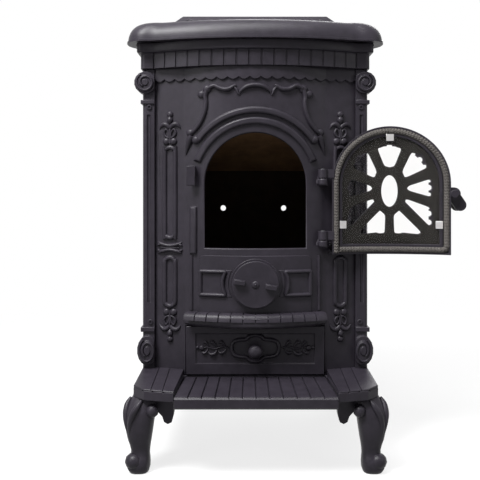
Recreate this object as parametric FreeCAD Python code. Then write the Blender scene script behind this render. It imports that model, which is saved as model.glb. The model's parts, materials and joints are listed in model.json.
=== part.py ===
"""Small cast iron heating stove with a bowed, arched fire door, shown standing open.

Millimetres, +Z up, front towards -Y. The origin is on the floor, on the stove's plane
of symmetry, midway between the front and the rear feet.
"""
import FreeCAD
import Part
import math
import os

# Body
BODY_DEPTH = 290.0      # from the corner posts' front to the back panel
BODY_HALF = 197.0       # outer face of the corner posts
BODY_H = 533.0
WALL = 7.0
SIDE_SET_BACK = 3.0     # side panels, behind the posts' outer faces
SEAT = 1.0              # play round castings that are laid in place
REAR_PLAY = 2.0         # play of the linings at the back panel
CLEAR = 0.3             # gap between pieces that move past each other
RUN = 0.05              # radial clearance of a running shaft
ROUND_SIDES = 16        # facets of a cast round ornament
LOBE_SIDES = 8          # facets of a small cast lobe
ROD_SIDES = 12

# Legs and hearth
LEG_H = 122.0
LEG_INSET = 19.0        # leg's middle, in from the base plate's side
LEG_AHEAD = 72.0        # front legs, ahead of the posts
LEG_BEHIND = 18.0       # rear legs, ahead of the back panel's face
LEG_SIDES = 12
LEG_STATIONS = (        # height, push along the diagonal, half width
    (0.0, 13.0, 21.0),
    (10.0, 12.5, 21.5),
    (22.0, 9.5, 18.0),
    (36.0, 7.5, 16.0),
    (56.0, 6.5, 20.0),
    (75.0, 4.5, 26.5),
    (98.0, -0.5, 29.5),
    (LEG_H, -6.0, 25.0),
)
EAR_REACH = 46.0        # knee bracket's tip, from the leg's middle
EAR_W = 24.0
EAR_DROP = 46.0
EAR_TIP = 14.0
EAR_HOLLOW = 0.3        # how far the bracket's curve hangs below its chord
STUD_R = 5.0
STUD_SHIFT = 8.0        # towards the middle of the stove
STUD_DEPTH = 12.0       # how far a stud goes into each piece
BASE_T = 15.0
BASE_LIP = 2.0          # base plate beyond the posts
BASE_BACK_LIP = 6.0
WING_REACH = 105.0      # wing's outer front corner, ahead of the posts
WING_BOW = 11.0         # how much further forward the inner corner is
WING_CHAMFER = 20.0
WING_SLATS = 4
LEDGE_REACH = 129.0
LEDGE_FLARE = 6.5       # ledge's front corners, beyond its back corners
LEDGE_DROP = 4.0        # ledge top below the wings' top
LEDGE_T = 19.0
LEDGE_CHAMFER = 3.0
LEDGE_GAP = 2.0
LEDGE_TONGUE = 30.0
TONGUE_INSET = 20.0
LEDGE_SLATS = 12
SLAT_GROOVE = 1.8

# Front panel: two canted strips and a bowed bay between them
STRIP_SET_BACK = 6.0
STRIP_CANT = 13.0
BAY_HALF = 122.0
BOW_R = 290.0
PANEL_BEAD = 2.5
ROOT = 1.0              # how deep raised work is rooted in its wall
SCALLOPS = 18
SCALLOP_DROP = 16.0
SCALLOP_GAP = 1.2
LOOP_HALF = 11.0
LOOP_BAND = 4.5
UPPER_LOOP = (371.0, 537.0)
LOWER_LOOP = (252.0, 345.0)

# Fire opening and its arches
ARCH_Z = 469.0          # springing line
OPEN_HALF = 87.3
OPEN_BOTTOM = 359.0
ARCH_GAP = 1.6          # arch band, outside the door's edge
ARCH_BAND_W = 12.0
ARCH_BAND_H = 5.0
HOOD_GAP = 6.4          # hood, outside the arch band
HOOD_W = 11.0
HOOD_H = 6.0
HOOD_FROM = 37.0        # degrees above the springing line
BAND_FROM = 21.0
JAMB_TOP = 430.0
ARCH_STEP = 10.0        # how far the arches' cutting shell starts below the springing line
CUT_REACH = 60.0        # cutting prisms, each way from the bay's face

# Sill, drawer and pan
SILL_Z = (224.0, 247.0)
SILL_REACH = 46.0
SILL_LIP = 2.0          # sill beyond the bay's corners
SILL_ROOT = 10.0        # sill behind the strips' outer ends
SILL_CHAMFER = 4.0
DRAWER_INSET = 2.0      # drawer front, inside the bay's corners
DRAWER_LIFT = 2.0
DRAWER_HEAD = 1.5       # gap under the sill
DRAWER_T = 8.0
DRAWER_PROUD = 3.0      # drawer face ahead of the strips' inner edges
DRAWER_BORDER = 17.0    # at the drawer's sides
DRAWER_RAILS = (19.0, 13.0)     # border's bottom and top
DRAWER_BORDER_H = 2.5
DRAWER_GAP = 1.0
PAN_INSET = 8.0         # pan's side, inside the drawer front's end
PAN_DEPTH = 222.0
PAN_H = 68.0
PAN_WALL = 2.0
RUNNER_W = 6.0
RUNNER_H = 20.0
KNOB_R = 12.5
KNOB_LENGTH = 28.0
KNOB_Z = 182.0
KNOB_PROFILE = (        # share of the radius, share of the length
    (0.62, 0.0),
    (0.42, 0.2),
    (0.42, 0.42),
    (0.85, 0.52),
    (1.0, 0.7),
    (0.85, 0.87),
    (0.45, 0.98),
    (0.2, 1.0),
)

# Air wheel
AIR_Z = 299.0
AIR_R = 39.5
AIR_BOSS_R = 43.0
AIR_BOSS_H = 4.0
AIR_BOSS_BACK = 5.0
AIR_BOSS_SIDES = 24
AIR_GAP = 3.0
AIR_WHEEL_T = 8.0
AIR_SPINDLE_R = 4.0
SPINDLE_PROUD = 1.0
SPINDLE_TAIL = 2.0
AIR_PORTS = 4
AIR_PORT_R = (14.0, 33.0)
AIR_PORT_DEG = 42.0
AIR_SHUTTER_R = 37.0
AIR_SHUTTER_T = 3.0
TAB_X = 27.0
TAB_HALF = (9.5, 4.0)
TAB_PROUD = 8.0
TAB_TILT = 9.0          # degrees, as the wheel stands in the photograph
AIR_FRAME_X = (40.0, 96.0)
AIR_FRAME_HALF = 23.0
AIR_FRAME_BAND = 4.5

# Fire door, modelled closed and then swung open about its pins
DOOR_LAP = 12.7         # door beyond the opening's sides
DOOR_FOOT = 11.0        # door below the opening
DOOR_IN = 4.0           # inner face, ahead of the bay's outer face
DOOR_OUT = 14.0
DOOR_LIP = 3.5
ROPE_GROOVE = 9.5
ROPE_GROOVE_DEPTH = 5.6
ROPE_R = 4.6
ROPE_SIDES = 8
ROPE_END = 0.5          # rope's first end, above the groove's wall
LAND_W = 17.0           # from the door's edge to the inside of its rope ring
GLASS_T = 4.0
GLASS_GAP = 0.1
WINDOW_INSET = 34.0
CUSP_R = 5.0
CUSPS = 3               # lobes along each window's outer edge
HUB_Z = 457.0
HUB_HALF = (21.0, 34.0)
HUB_HOLE = (14.8, 28.0)
SPOKE_W = 12.0
SPOKE_ANGLES = (68.0, 25.0, -15.0, -46.0, -90.0, -134.0, -165.0, -205.0, -248.0, -292.0)
DOOR_OPEN = 176.0

# Hinges and latch
HINGE_OUT = 16.0        # hinge axis, outside the door's edge
HINGE_AHEAD = 15.0      # hinge axis, ahead of the bay's corners
BARREL_R = 8.5
PIN_R = 4.0
PIN_TIP = 1.5           # pin above the door's barrel
LUG_Z = ((360.0, 373.0), (466.0, 479.0))
BARREL_H = 14.5
ARM_OUT = 6.0           # arm's outer face, ahead of the hinge axis
ARM_ROOT = 4.0          # how far the arm reaches into the door
LATCH_OUT = 6.0         # latch pivot, outside the door's edge
LATCH_Z = 452.0
LATCH_LUG_R = 11.0
LATCH_LUG_L = 12.0
LATCH_LUG_AHEAD = (11.0, 2.0)   # lug's faces, ahead of the hinge axis
LEVER_REACH = (12.7, 19.2)      # lever's tip, outwards and down from its pivot
LEVER_R = (9.0, 10.0)           # at the pivot and at the tip
LEVER_T = 7.0
TONGUE_REACH = 20.0
TONGUE_DEG = 150.0
TONGUE_T = 4.5
TONGUE_R = 5.5
KEEPER_OUT = (3.0, 18.0)        # keeper's sides, outside the door's edge
KEEPER_Z = (466.0, 500.0)
KEEPER_LIP = 16.0
KEEPER_LIP_T = 4.0
KEEPER_PLAY = 1.0       # lip ahead of the closed tongue
GRIP_R = 11.0
GRIP_LENGTH = 30.0

# Glass clips
CLIP_L = 12.0
CLIP_W = 13.0
CLIP_T = 1.2
CLIP_Z = 399.0
CLIP_LAP = 1.4          # clip over the rope ring
CLIP_BITE = 2.0         # clip over the pane's edge
CLIP_SINK = 0.2         # clip's outer face, into the door's inner face

# Posts
POST_W = 21.5
POST_D = 24.0
POST_ROUND = 6.0
POST_GROOVE_R = 2.6
POST_GROOVE_Z = (262.0, 590.0)
SCROLL_R = 19.5
SCROLL_Z = 646.0
SCROLL_PROUD = 6.0
SCROLL_INSET = 5.5      # scroll's middle, inside the posts' outer face
VOLUTE_HALF = (18.0, 26.0)
VOLUTE_Z = 179.0
VOLUTE_INSET = 9.0
SCROLL_STEPS = ((1.0, 0.0), (0.68, 2.5), (0.3, 4.5))    # share of the size, extra height
STEP_OUT = 3.0
STEP_Z = ((211.0, 219.0), (609.0, 616.0))

# Sides and back
SIDE_RIB = 2.5
SIDE_MARGIN = 28.0
SIDE_BAND = 9.0
LEDGE_RIB_W = 22.0
LEDGE_RIB_H = 10.0
AIR_HOLE_X = 65.0
AIR_HOLE_Z = 422.0
AIR_HOLE_R = 6.0
FLUE_Z = 596.0
FLUE_R = 60.0
FLUE_WALL = 5.0
FLUE_LENGTH = 50.0
FLANGE_R = 76.0
FLANGE_T = 8.0
FLANGE_SIDES = 32

# Firebox
BED_Z = 322.0
BED_T = 12.0
BED_GAP = 3.0
BED_NOSE_INSET = 12.0
BED_TAIL_INSET = 16.0
GRATE_HALF = 84.0
GRATE_DEPTH = 168.0
GRATE_AHEAD = 3.0       # grate's front, ahead of the linings
GRATE_T = 8.0
GRATE_PROUD = 2.0
GRATE_SEAT = 8.0
GRATE_BARS = 10
GRATE_SLOT = 8.0
LINER_T = 16.0
LINER_BACK = 21.0       # linings' front, behind the posts
BAFFLE_REAR_Z = 496.0
BAFFLE_RISE = 0.38
BAFFLE_T = 10.0
BAFFLE_INSET = 14.0     # baffle's sides, inside the side panels
BAFFLE_BACK = 31.0      # baffle's front, behind the posts
ROD_R = 4.0
ROD_CORNER = 6.0        # rod's middle, from the side panel
ROD_FRONT = 10.0        # front rods, behind the posts
ROD_REAR = 11.0         # rear rods, ahead of the back panel

# Frieze, top plate and lid
FRIEZE_LIP = 3.0        # frieze beyond the posts' sides
FRIEZE_AHEAD = 6.0      # frieze's corners, ahead of the posts
FRIEZE_CORNER = 24.0    # plain corner beside the bowed front
FRIEZE_BOW = 36.0
FRIEZE_H = 27.0
CORNICE_H = 16.0
CORNICE_OUT = 6.0
FRIEZE_PANELS = 17
FLUTE_W = 3.0
FLUTE_DEPTH = 1.8
TOP_T = 29.0
TOP_SKIN = 9.0          # thickness of the top plate inside its rim
TOP_OUT = 24.0
TOP_SIDE_OUT = 23.5
TOP_CHAMFER = 17.0
LOBE_R = 33.0
NOTCH_R = 24.0
HOB_HALF = 122.0
HOB_DEPTH = 170.0
HOB_SHIFT = 18.0        # hob opening, ahead of the body's middle
LID_LAP = (37.0, 30.0)  # lid beyond the hob opening, along X and Y
LID_H = 31.0
LID_EDGE = (4.0, 6.0)   # inset and height of the lid's lower edge
LID_SLOPE = 29.0
LID_SKIN = 9.0
LID_LIP_T = 6.0
LID_LIP_GAP = 2.0

# Places that follow from the sizes above
LEG_Y = (BODY_DEPTH + LEG_AHEAD - LEG_BEHIND) / 2
BODY_FRONT = LEG_AHEAD - LEG_Y
BODY_BACK = BODY_FRONT + BODY_DEPTH
BASE_HALF = BODY_HALF + BASE_LIP
LEG_X = BASE_HALF - LEG_INSET
STUD_X = LEG_X - STUD_SHIFT
STUD_Y = LEG_Y - STUD_SHIFT
BASE_TOP = LEG_H + BASE_T
BODY_TOP = BASE_TOP + BODY_H
POST_IN = BODY_HALF - POST_W
POST_BACK = BODY_FRONT + POST_D
SIDE_OUT = BODY_HALF - SIDE_SET_BACK
SIDE_IN = SIDE_OUT - WALL
BACK_IN = BODY_BACK - WALL
REAR_SEAT = BACK_IN - REAR_PLAY
STRIP_Y = BODY_FRONT + STRIP_SET_BACK
BAY_Y = STRIP_Y - STRIP_CANT
BOW_Y = BAY_Y + math.sqrt(BOW_R ** 2 - BAY_HALF ** 2)
BAY_FRONT = BOW_Y - BOW_R
ARCH_DEPTH = (BAY_FRONT - CUT_REACH, BAY_FRONT + CUT_REACH)
DRAWER_HALF = BAY_HALF - DRAWER_INSET
DRAWER_Z = (BASE_TOP + DRAWER_LIFT, SILL_Z[0] - DRAWER_HEAD)
DRAWER_FACE = BAY_Y - DRAWER_PROUD
DRAWER_BACK = DRAWER_FACE + DRAWER_T
PAN_HALF = DRAWER_HALF - PAN_INSET
LEDGE_TOP = BASE_TOP - LEDGE_DROP
LEDGE_FRONT_HALF = BAY_HALF + LEDGE_FLARE
DOOR_HALF = OPEN_HALF + DOOR_LAP
DOOR_BOTTOM = OPEN_BOTTOM - DOOR_FOOT
ARCH_BAND_IN = DOOR_HALF + ARCH_GAP
HOOD_IN = ARCH_BAND_IN + ARCH_BAND_W + HOOD_GAP
HINGE_X = DOOR_HALF + HINGE_OUT
HINGE_Y = BAY_Y - HINGE_AHEAD
LATCH_X = -DOOR_HALF - LATCH_OUT
LATCH_LUG_Y = (HINGE_Y - LATCH_LUG_AHEAD[0], HINGE_Y - LATCH_LUG_AHEAD[1])
LEVER_TIP = (LATCH_X - LEVER_REACH[0], LATCH_Z - LEVER_REACH[1])
KEEPER_X = (-DOOR_HALF - KEEPER_OUT[1], -DOOR_HALF - KEEPER_OUT[0])
SCROLL_X = BODY_HALF - SCROLL_INSET
VOLUTE_X = BODY_HALF - VOLUTE_INSET
AIR_FACE = BAY_FRONT - AIR_BOSS_H
AIR_BACK = BAY_FRONT + WALL + AIR_BOSS_BACK
BED_TOP = BED_Z + BED_T
LINER_FRONT = POST_BACK + LINER_BACK
LINER_OUT = SIDE_IN - SEAT
GRATE_Y = (LINER_FRONT - GRATE_AHEAD, LINER_FRONT - GRATE_AHEAD + GRATE_DEPTH)
BAFFLE_HALF = SIDE_IN - BAFFLE_INSET
BAFFLE_Y = (POST_BACK + BAFFLE_BACK, REAR_SEAT)
ROD_X = SIDE_IN - ROD_CORNER
ROD_Y = (POST_BACK + ROD_FRONT, BACK_IN - ROD_REAR)
FRIEZE_HALF = BODY_HALF + FRIEZE_LIP
FRIEZE_BOW_HALF = FRIEZE_HALF - FRIEZE_CORNER
FRIEZE_FRONT = BODY_FRONT - FRIEZE_AHEAD
FRIEZE_R = (FRIEZE_BOW_HALF ** 2 + FRIEZE_BOW ** 2) / (2 * FRIEZE_BOW)
FRIEZE_Y = FRIEZE_FRONT - FRIEZE_BOW + FRIEZE_R
FRIEZE_TOP = BODY_TOP + FRIEZE_H
CORNICE_TOP = FRIEZE_TOP + CORNICE_H
TOP_Z = CORNICE_TOP + TOP_T
HOB_MIDDLE = (BODY_FRONT + BODY_BACK) / 2 - HOB_SHIFT
HOB_Y = (HOB_MIDDLE - HOB_DEPTH / 2, HOB_MIDDLE + HOB_DEPTH / 2)


def vec(x, y, z):
    return FreeCAD.Vector(x, y, z)


def block(x, y, z):
    """Box between pairs of limits along X, Y and Z."""
    size = (x[1] - x[0], y[1] - y[0], z[1] - z[0])
    return Part.makeBox(*size, vec(x[0], y[0], z[0]))


def rod(radius, start, end):
    """Round bar from one point to another."""
    along = end.sub(start)
    return Part.makeCylinder(radius, along.Length, start, along)


def rod_y(radius, x, z, y):
    """Round bar along Y about (x, z)."""
    return rod(radius, vec(x, y[0], z), vec(x, y[1], z))


def upright(radius, x, y, z):
    return Part.makeCylinder(radius, z[1] - z[0], vec(x, y, z[0]))


def face_of(edges):
    return Part.Face(Part.Wire(edges))


def polygon(points):
    return Part.Face(Part.makePolygon(points + points[:1]))


def arc(start, middle, end):
    return Part.Arc(start, middle, end).toShape()


def line(start, end):
    return Part.LineSegment(start, end).toShape()


def fused(shapes):
    return shapes[0].multiFuse(shapes[1:]).removeSplitter()


def turns(sides):
    """Angles of a regular polygon's corners, with flats on the axes."""
    return [2 * math.pi * (index + 0.5) / sides for index in range(sides)]


def faceted_rod(radius, x, y, z, sides=ROD_SIDES):
    """Upright bar with flat sides."""
    corners = []
    for turn in turns(sides):
        corners.append(vec(x + radius * math.cos(turn), y + radius * math.sin(turn), z[0]))
    return polygon(corners).extrude(vec(0, 0, z[1] - z[0]))


def stacked(rings):
    """Solid with flat sides through a stack of similar polygons."""
    faces = [polygon(rings[0]), polygon(rings[-1])]
    for low, high in zip(rings, rings[1:]):
        for index, corner in enumerate(low):
            after = (index + 1) % len(low)
            faces.append(polygon([corner, low[after], high[after], high[index]]))
    shell = Part.makeShell(faces)
    shell.sewShape()
    solid = Part.makeSolid(shell)
    if solid.Volume < 0:
        solid.reverse()
    return solid


def oval_prism(x, z, half, y, sides=ROUND_SIDES):
    """Faceted oval about (x, z), extruded along Y."""
    corners = []
    for turn in turns(sides):
        corners.append(vec(x + half[0] * math.cos(turn), y[0], z + half[1] * math.sin(turn)))
    return polygon(corners).extrude(vec(0, y[1] - y[0], 0))


def slot_prism(ends, radii, y):
    """Faceted link outline round two (x, z) centres, extruded along Y."""
    (x0, z0), (x1, z1) = ends
    heading = math.atan2(z1 - z0, x1 - x0)
    steps = ROUND_SIDES // 2
    corners = []
    for (x, z), radius, start in zip(ends, radii, (heading + math.pi / 2, heading - math.pi / 2)):
        for index in range(steps + 1):
            turn = start + math.pi * index / steps
            corners.append(vec(x + radius * math.cos(turn), y[0], z + radius * math.sin(turn)))
    return polygon(corners).extrude(vec(0, y[1] - y[0], 0))


def mirrored(shape):
    """The same piece on the other side of the plane of symmetry."""
    return shape.mirror(vec(0, 0, 0), vec(1, 0, 0))


def edges_at(shape, x=None, y=None, z=None):
    """Edges whose middle lies at the given coordinates."""
    wanted = ((0, x), (1, y), (2, z))
    found = []
    for edge in shape.Edges:
        middle = edge.CenterOfMass
        if all(value is None or abs(middle[axis] - value) < 0.01 for axis, value in wanted):
            found.append(edge)
    return found


def bow_y(x, offset=0.0):
    """Y of the bowed front at x, offset outwards from the bay's face."""
    return BOW_Y - math.sqrt((BOW_R + offset) ** 2 - x ** 2)


def bow_shell(inner, outer, z):
    """Upright ring about the bow's axis, with offsets from the bay's face."""
    outside = upright(BOW_R + outer, 0, BOW_Y, z)
    return outside.cut(upright(BOW_R + inner, 0, BOW_Y, z))


def arch_prism(half, bottom, inset=0.0, depth=ARCH_DEPTH):
    """Round-arched prism along Y, drawn in from its outline by the inset."""
    side = half - inset
    foot = bottom + inset
    y = depth[0]
    left = vec(-side, y, ARCH_Z)
    right = vec(side, y, ARCH_Z)
    crown = arc(right, vec(0, y, ARCH_Z + side), left)
    jambs = Part.makePolygon([left, vec(-side, y, foot), vec(side, y, foot), right])
    return face_of([crown] + jambs.Edges).extrude(vec(0, depth[1] - depth[0], 0))


def arch_band(inner, width, height, start):
    """Raised band over the arch, from an angle above each springing."""
    y = ARCH_DEPTH[0]

    def spot(radius, degrees):
        turn = math.radians(degrees)
        return vec(radius * math.cos(turn), y, ARCH_Z + radius * math.sin(turn))

    outer = inner + width
    end = 180.0 - start
    edges = [
        arc(spot(inner, start), spot(inner, 90.0), spot(inner, end)),
        line(spot(inner, end), spot(outer, end)),
        arc(spot(outer, end), spot(outer, 90.0), spot(outer, start)),
        line(spot(outer, start), spot(inner, start)),
    ]
    prism = face_of(edges).extrude(vec(0, ARCH_DEPTH[1] - ARCH_DEPTH[0], 0))
    return prism.common(bow_shell(-ROOT, height, (ARCH_Z - ARCH_STEP, BODY_TOP)))


def panel_line(offset):
    """Left end, bay corners, crown and right end of the front, offset outwards."""
    scale = (BOW_R + offset) / BOW_R
    corner_x = BAY_HALF * scale
    corner_y = BOW_Y + (BAY_Y - BOW_Y) * scale
    end_y = STRIP_Y - offset
    return [
        vec(-POST_IN, end_y, 0),
        vec(-corner_x, corner_y, 0),
        vec(0, BOW_Y - BOW_R - offset, 0),
        vec(corner_x, corner_y, 0),
        vec(POST_IN, end_y, 0),
    ]


def panel_slab(back, front, z):
    """Wall that follows the canted strips and the bowed bay."""
    inner = panel_line(back)
    outer = panel_line(front)
    edges = []
    for points in (inner, outer):
        edges.append(line(points[0], points[1]))
        edges.append(arc(points[1], points[2], points[3]))
        edges.append(line(points[3], points[4]))
    edges.append(line(inner[0], outer[0]))
    edges.append(line(inner[4], outer[4]))
    face = Part.Face(Part.Wire(Part.__sortEdges__(edges)))
    return slab(face, z)


def scallop_valance():
    """Row of scallops that hangs under the panel's top edge."""
    pitch = 2 * POST_IN / SCALLOPS
    radius = (pitch - SCALLOP_GAP) / 2
    low = BODY_TOP - SCALLOP_DROP + radius
    depth = (ARCH_DEPTH[0], POST_BACK)
    lobes = []
    for index in range(SCALLOPS):
        x = -POST_IN + pitch * (index + 0.5)
        corners = [vec(x - radius, depth[0], BODY_TOP)]
        for step in range(LOBE_SIDES // 2 + 1):
            turn = math.pi * (1 + step / (LOBE_SIDES // 2))
            corners.append(vec(x + radius * math.cos(turn), depth[0], low + radius * math.sin(turn)))
        corners.append(vec(x + radius, depth[0], BODY_TOP))
        lobes.append(polygon(corners).extrude(vec(0, depth[1] - depth[0], 0)))
    valance = panel_slab(-ROOT, PANEL_BEAD, (BODY_TOP - SCALLOP_DROP, BODY_TOP))
    return valance.common(Part.makeCompound(lobes))


def strip_loop(z):
    """Raised oblong loop on the right-hand canted strip."""
    turn = math.degrees(math.atan2(STRIP_CANT, POST_IN - BAY_HALF))
    ends = [(0.0, z[0] + LOOP_HALF), (0.0, z[1] - LOOP_HALF)]
    rings = []
    for half in (LOOP_HALF, LOOP_HALF - LOOP_BAND):
        rings.append(slot_prism(ends, [half, half], (-PANEL_BEAD, ROOT)))
    loop = rings[0].cut(rings[1])
    loop.rotate(vec(0, 0, 0), vec(0, 0, 1), turn)
    loop.translate(vec((POST_IN + BAY_HALF) / 2, (STRIP_Y + BAY_Y) / 2, 0))
    return loop


def sill():
    """Bowed shelf between the drawer and the air panel."""
    half = BAY_HALF + SILL_LIP
    back = STRIP_Y - SILL_ROOT + WALL
    left = vec(-half, BAY_Y, 0)
    right = vec(half, BAY_Y, 0)
    front = arc(left, vec(0, BAY_Y - SILL_REACH, 0), right)
    sides = Part.makePolygon([right, vec(half, back, 0), vec(-half, back, 0), left])
    shelf = slab(face_of([front] + sides.Edges), SILL_Z)
    rim = [edge for edge in shelf.Edges if edge.Curve.TypeId == "Part::GeomCircle"]
    return shelf.makeChamfer(SILL_CHAMFER, rim)


def hinge_lug(z):
    """Frame knuckle that carries one hinge pin."""
    round_end = faceted_rod(BARREL_R, HINGE_X, HINGE_Y, z, ROUND_SIDES)
    arm = block((HINGE_X - BARREL_R, HINGE_X + BARREL_R), (HINGE_Y, BAY_Y + WALL / 2), z)
    lug = round_end.fuse(arm)
    return lug.cut(upright(PIN_R, HINGE_X, HINGE_Y, z))


def air_ports(y):
    """Sector-shaped holes round the air wheel's spindle."""
    ports = []
    for index in range(AIR_PORTS):
        middle = 360.0 / AIR_PORTS * index
        spots = []
        for radius in AIR_PORT_R:
            for degrees in (middle - AIR_PORT_DEG / 2, middle, middle + AIR_PORT_DEG / 2):
                turn = math.radians(degrees)
                spots.append(vec(radius * math.cos(turn), y[0], AIR_Z + radius * math.sin(turn)))
        edges = [
            arc(*spots[:3]),
            line(spots[2], spots[5]),
            arc(*spots[:2:-1]),
            line(spots[3], spots[0]),
        ]
        ports.append(face_of(edges).extrude(vec(0, y[1] - y[0], 0)))
    return Part.makeCompound(ports)


def air_frames():
    """Raised frames beside the air wheel, their inner sides curved round it."""
    z = (AIR_Z - AIR_FRAME_HALF, AIR_Z + AIR_FRAME_HALF)
    plates = []
    for inset in (0.0, AIR_FRAME_BAND):
        x = (AIR_FRAME_X[0] + inset, AIR_FRAME_X[1] - inset)
        plate = block(x, ARCH_DEPTH, (z[0] + inset, z[1] - inset))
        radius = AIR_BOSS_R + AIR_GAP + inset
        plates.append(plate.cut(oval_prism(0, AIR_Z, (radius, radius), ARCH_DEPTH, AIR_BOSS_SIDES)))
    frame = plates[0].cut(plates[1]).common(bow_shell(-ROOT, PANEL_BEAD, z))
    return [frame, mirrored(frame)]


def left_jamb():
    """Upright end of the arch band, below the latch."""
    x = (-ARCH_BAND_IN - ARCH_BAND_W, -ARCH_BAND_IN)
    z = (DOOR_BOTTOM, JAMB_TOP)
    return block(x, ARCH_DEPTH, z).common(bow_shell(-ROOT, ARCH_BAND_H, z))


def front_panel():
    """Bowed front casting with its arches, sill, hinge lugs and air ports."""
    wall = panel_slab(-WALL, 0.0, (BASE_TOP, BODY_TOP))
    boss = oval_prism(0, AIR_Z, (AIR_BOSS_R, AIR_BOSS_R), (AIR_FACE, AIR_BACK), AIR_BOSS_SIDES)
    pieces = [wall, sill(), boss, scallop_valance(), left_jamb()]
    pieces.append(arch_band(ARCH_BAND_IN, ARCH_BAND_W, ARCH_BAND_H, BAND_FROM))
    pieces.append(arch_band(HOOD_IN, HOOD_W, HOOD_H, HOOD_FROM))
    for limits in (UPPER_LOOP, LOWER_LOOP):
        loop = strip_loop(limits)
        pieces += [loop, mirrored(loop)]
    pieces += [hinge_lug(z) for z in LUG_Z] + air_frames()
    panel = fused(pieces)
    drawer_half = DRAWER_HALF + DRAWER_GAP
    drawer_way = block((-drawer_half, drawer_half), ARCH_DEPTH, (BASE_TOP, SILL_Z[0]))
    tools = [arch_prism(OPEN_HALF, OPEN_BOTTOM), drawer_way, air_ports((AIR_FACE, AIR_BACK))]
    tools.append(rod_y(AIR_SPINDLE_R + RUN, 0, AIR_Z, (AIR_FACE, AIR_BACK)))
    for tool in tools:
        panel = panel.cut(tool)
    return panel


def corner_post():
    """Right-hand front post with its scroll, volute, steps and long flute."""
    sides = (POST_IN, BODY_HALF)
    shaft = block(sides, (BODY_FRONT, POST_BACK), (BASE_TOP, BODY_TOP))
    shaft = shaft.makeFillet(POST_ROUND, edges_at(shaft, x=BODY_HALF, y=BODY_FRONT))
    pieces = [shaft]
    for z in STEP_Z:
        pieces.append(block((POST_IN, BODY_HALF + STEP_OUT), (BODY_FRONT - STEP_OUT, POST_BACK), z))
    front = BODY_FRONT - SCROLL_PROUD
    for share, proud in SCROLL_STEPS:
        depth = (front - proud, POST_BACK)
        radius = SCROLL_R * share
        pieces.append(oval_prism(SCROLL_X, SCROLL_Z, (radius, radius), depth))
        half = [size * share for size in VOLUTE_HALF]
        pieces.append(oval_prism(VOLUTE_X, VOLUTE_Z, half, depth))
    post = fused(pieces)
    post = post.cut(upright(POST_GROOVE_R, (POST_IN + BODY_HALF) / 2, BODY_FRONT, POST_GROOVE_Z))
    inside = block((0, POST_IN), ARCH_DEPTH, (BASE_TOP, BODY_TOP))
    return post.cut(inside)


def side_panel():
    """Right-hand side wall with a raised frame and the ledge for the fire bed."""
    wall = block((SIDE_IN, SIDE_OUT), (POST_BACK, BODY_BACK), (BASE_TOP, BODY_TOP))
    y = (POST_BACK + SIDE_MARGIN, BODY_BACK - SIDE_MARGIN)
    z = (BASE_TOP + SIDE_MARGIN, BODY_TOP - SIDE_MARGIN)
    rib_out = SIDE_OUT + SIDE_RIB
    frame = block((SIDE_OUT, rib_out), y, z)
    y = (y[0] + SIDE_BAND, y[1] - SIDE_BAND)
    z = (z[0] + SIDE_BAND, z[1] - SIDE_BAND)
    frame = frame.cut(block((SIDE_OUT, rib_out), y, z))
    ledge_y = (LINER_FRONT, BACK_IN - LINER_T)
    ledge = block((SIDE_IN - LEDGE_RIB_W, SIDE_IN), ledge_y, (BED_Z - LEDGE_RIB_H, BED_Z))
    return fused([wall, frame, ledge])


def back_panel():
    """Rear wall with the flue hole and two air holes."""
    y = (BACK_IN, BODY_BACK)
    wall = block((-SIDE_IN, SIDE_IN), y, (BASE_TOP, BODY_TOP))
    return wall.cut(rod_y(FLUE_R - FLUE_WALL, 0, FLUE_Z, y)).cut(air_holes(y))


def air_holes(y):
    return Part.makeCompound([rod_y(AIR_HOLE_R, x, AIR_HOLE_Z, y) for x in (-AIR_HOLE_X, AIR_HOLE_X)])


def flue_spigot():
    """Flanged collar that takes the smoke pipe."""
    y = (BODY_BACK, BODY_BACK + FLUE_LENGTH)
    collar = rod_y(FLUE_R, 0, FLUE_Z, y)
    flange = oval_prism(0, FLUE_Z, (FLANGE_R, FLANGE_R), (y[0], y[0] + FLANGE_T), FLANGE_SIDES)
    return collar.fuse(flange).removeSplitter().cut(rod_y(FLUE_R - FLUE_WALL, 0, FLUE_Z, y))


def leg_section(z, shift, half):
    """Polygon across a leg, pushed out along the leg's diagonal."""
    points = []
    for turn in turns(LEG_SIDES):
        points.append(vec(LEG_X + shift + half * math.cos(turn), -LEG_Y - shift + half * math.sin(turn), z))
    return points


def knee_ear():
    """Curved bracket from the knee along the base's front edge."""
    tip = LEG_X - EAR_REACH
    root = LEG_X - EAR_W / 2
    foot = LEG_H - EAR_DROP
    heel = root - EAR_W / 2
    y = -LEG_Y - EAR_W / 2
    shoulder = vec(tip, y, LEG_H - EAR_TIP)
    bend_x = heel - (heel - tip) * EAR_HOLLOW
    bend_z = LEG_H - EAR_TIP - (EAR_DROP - EAR_TIP) * EAR_HOLLOW
    edges = Part.makePolygon([
        vec(heel, y, foot),
        vec(root, y, foot),
        vec(root, y, LEG_H),
        vec(tip, y, LEG_H),
        shoulder,
    ]).Edges
    curve = arc(shoulder, vec(bend_x, y, bend_z), vec(heel, y, foot))
    return face_of(edges + [curve]).extrude(vec(0, EAR_W, 0))


def leg():
    """Front right cabriole leg; the others are mirror images."""
    shaft = stacked([leg_section(*station) for station in LEG_STATIONS])
    ear = knee_ear()
    side_ear = ear.mirror(vec(LEG_X, -LEG_Y, 0), vec(1, 1, 0).normalize())
    return fused([shaft, ear, side_ear]).cut(leg_studs())


def leg_studs():
    studs = []
    for x in (-STUD_X, STUD_X):
        for y in (-STUD_Y, STUD_Y):
            studs.append(faceted_rod(STUD_R, x, y, (LEG_H - STUD_DEPTH, LEG_H + STUD_DEPTH)))
    return Part.makeCompound(studs)


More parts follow.
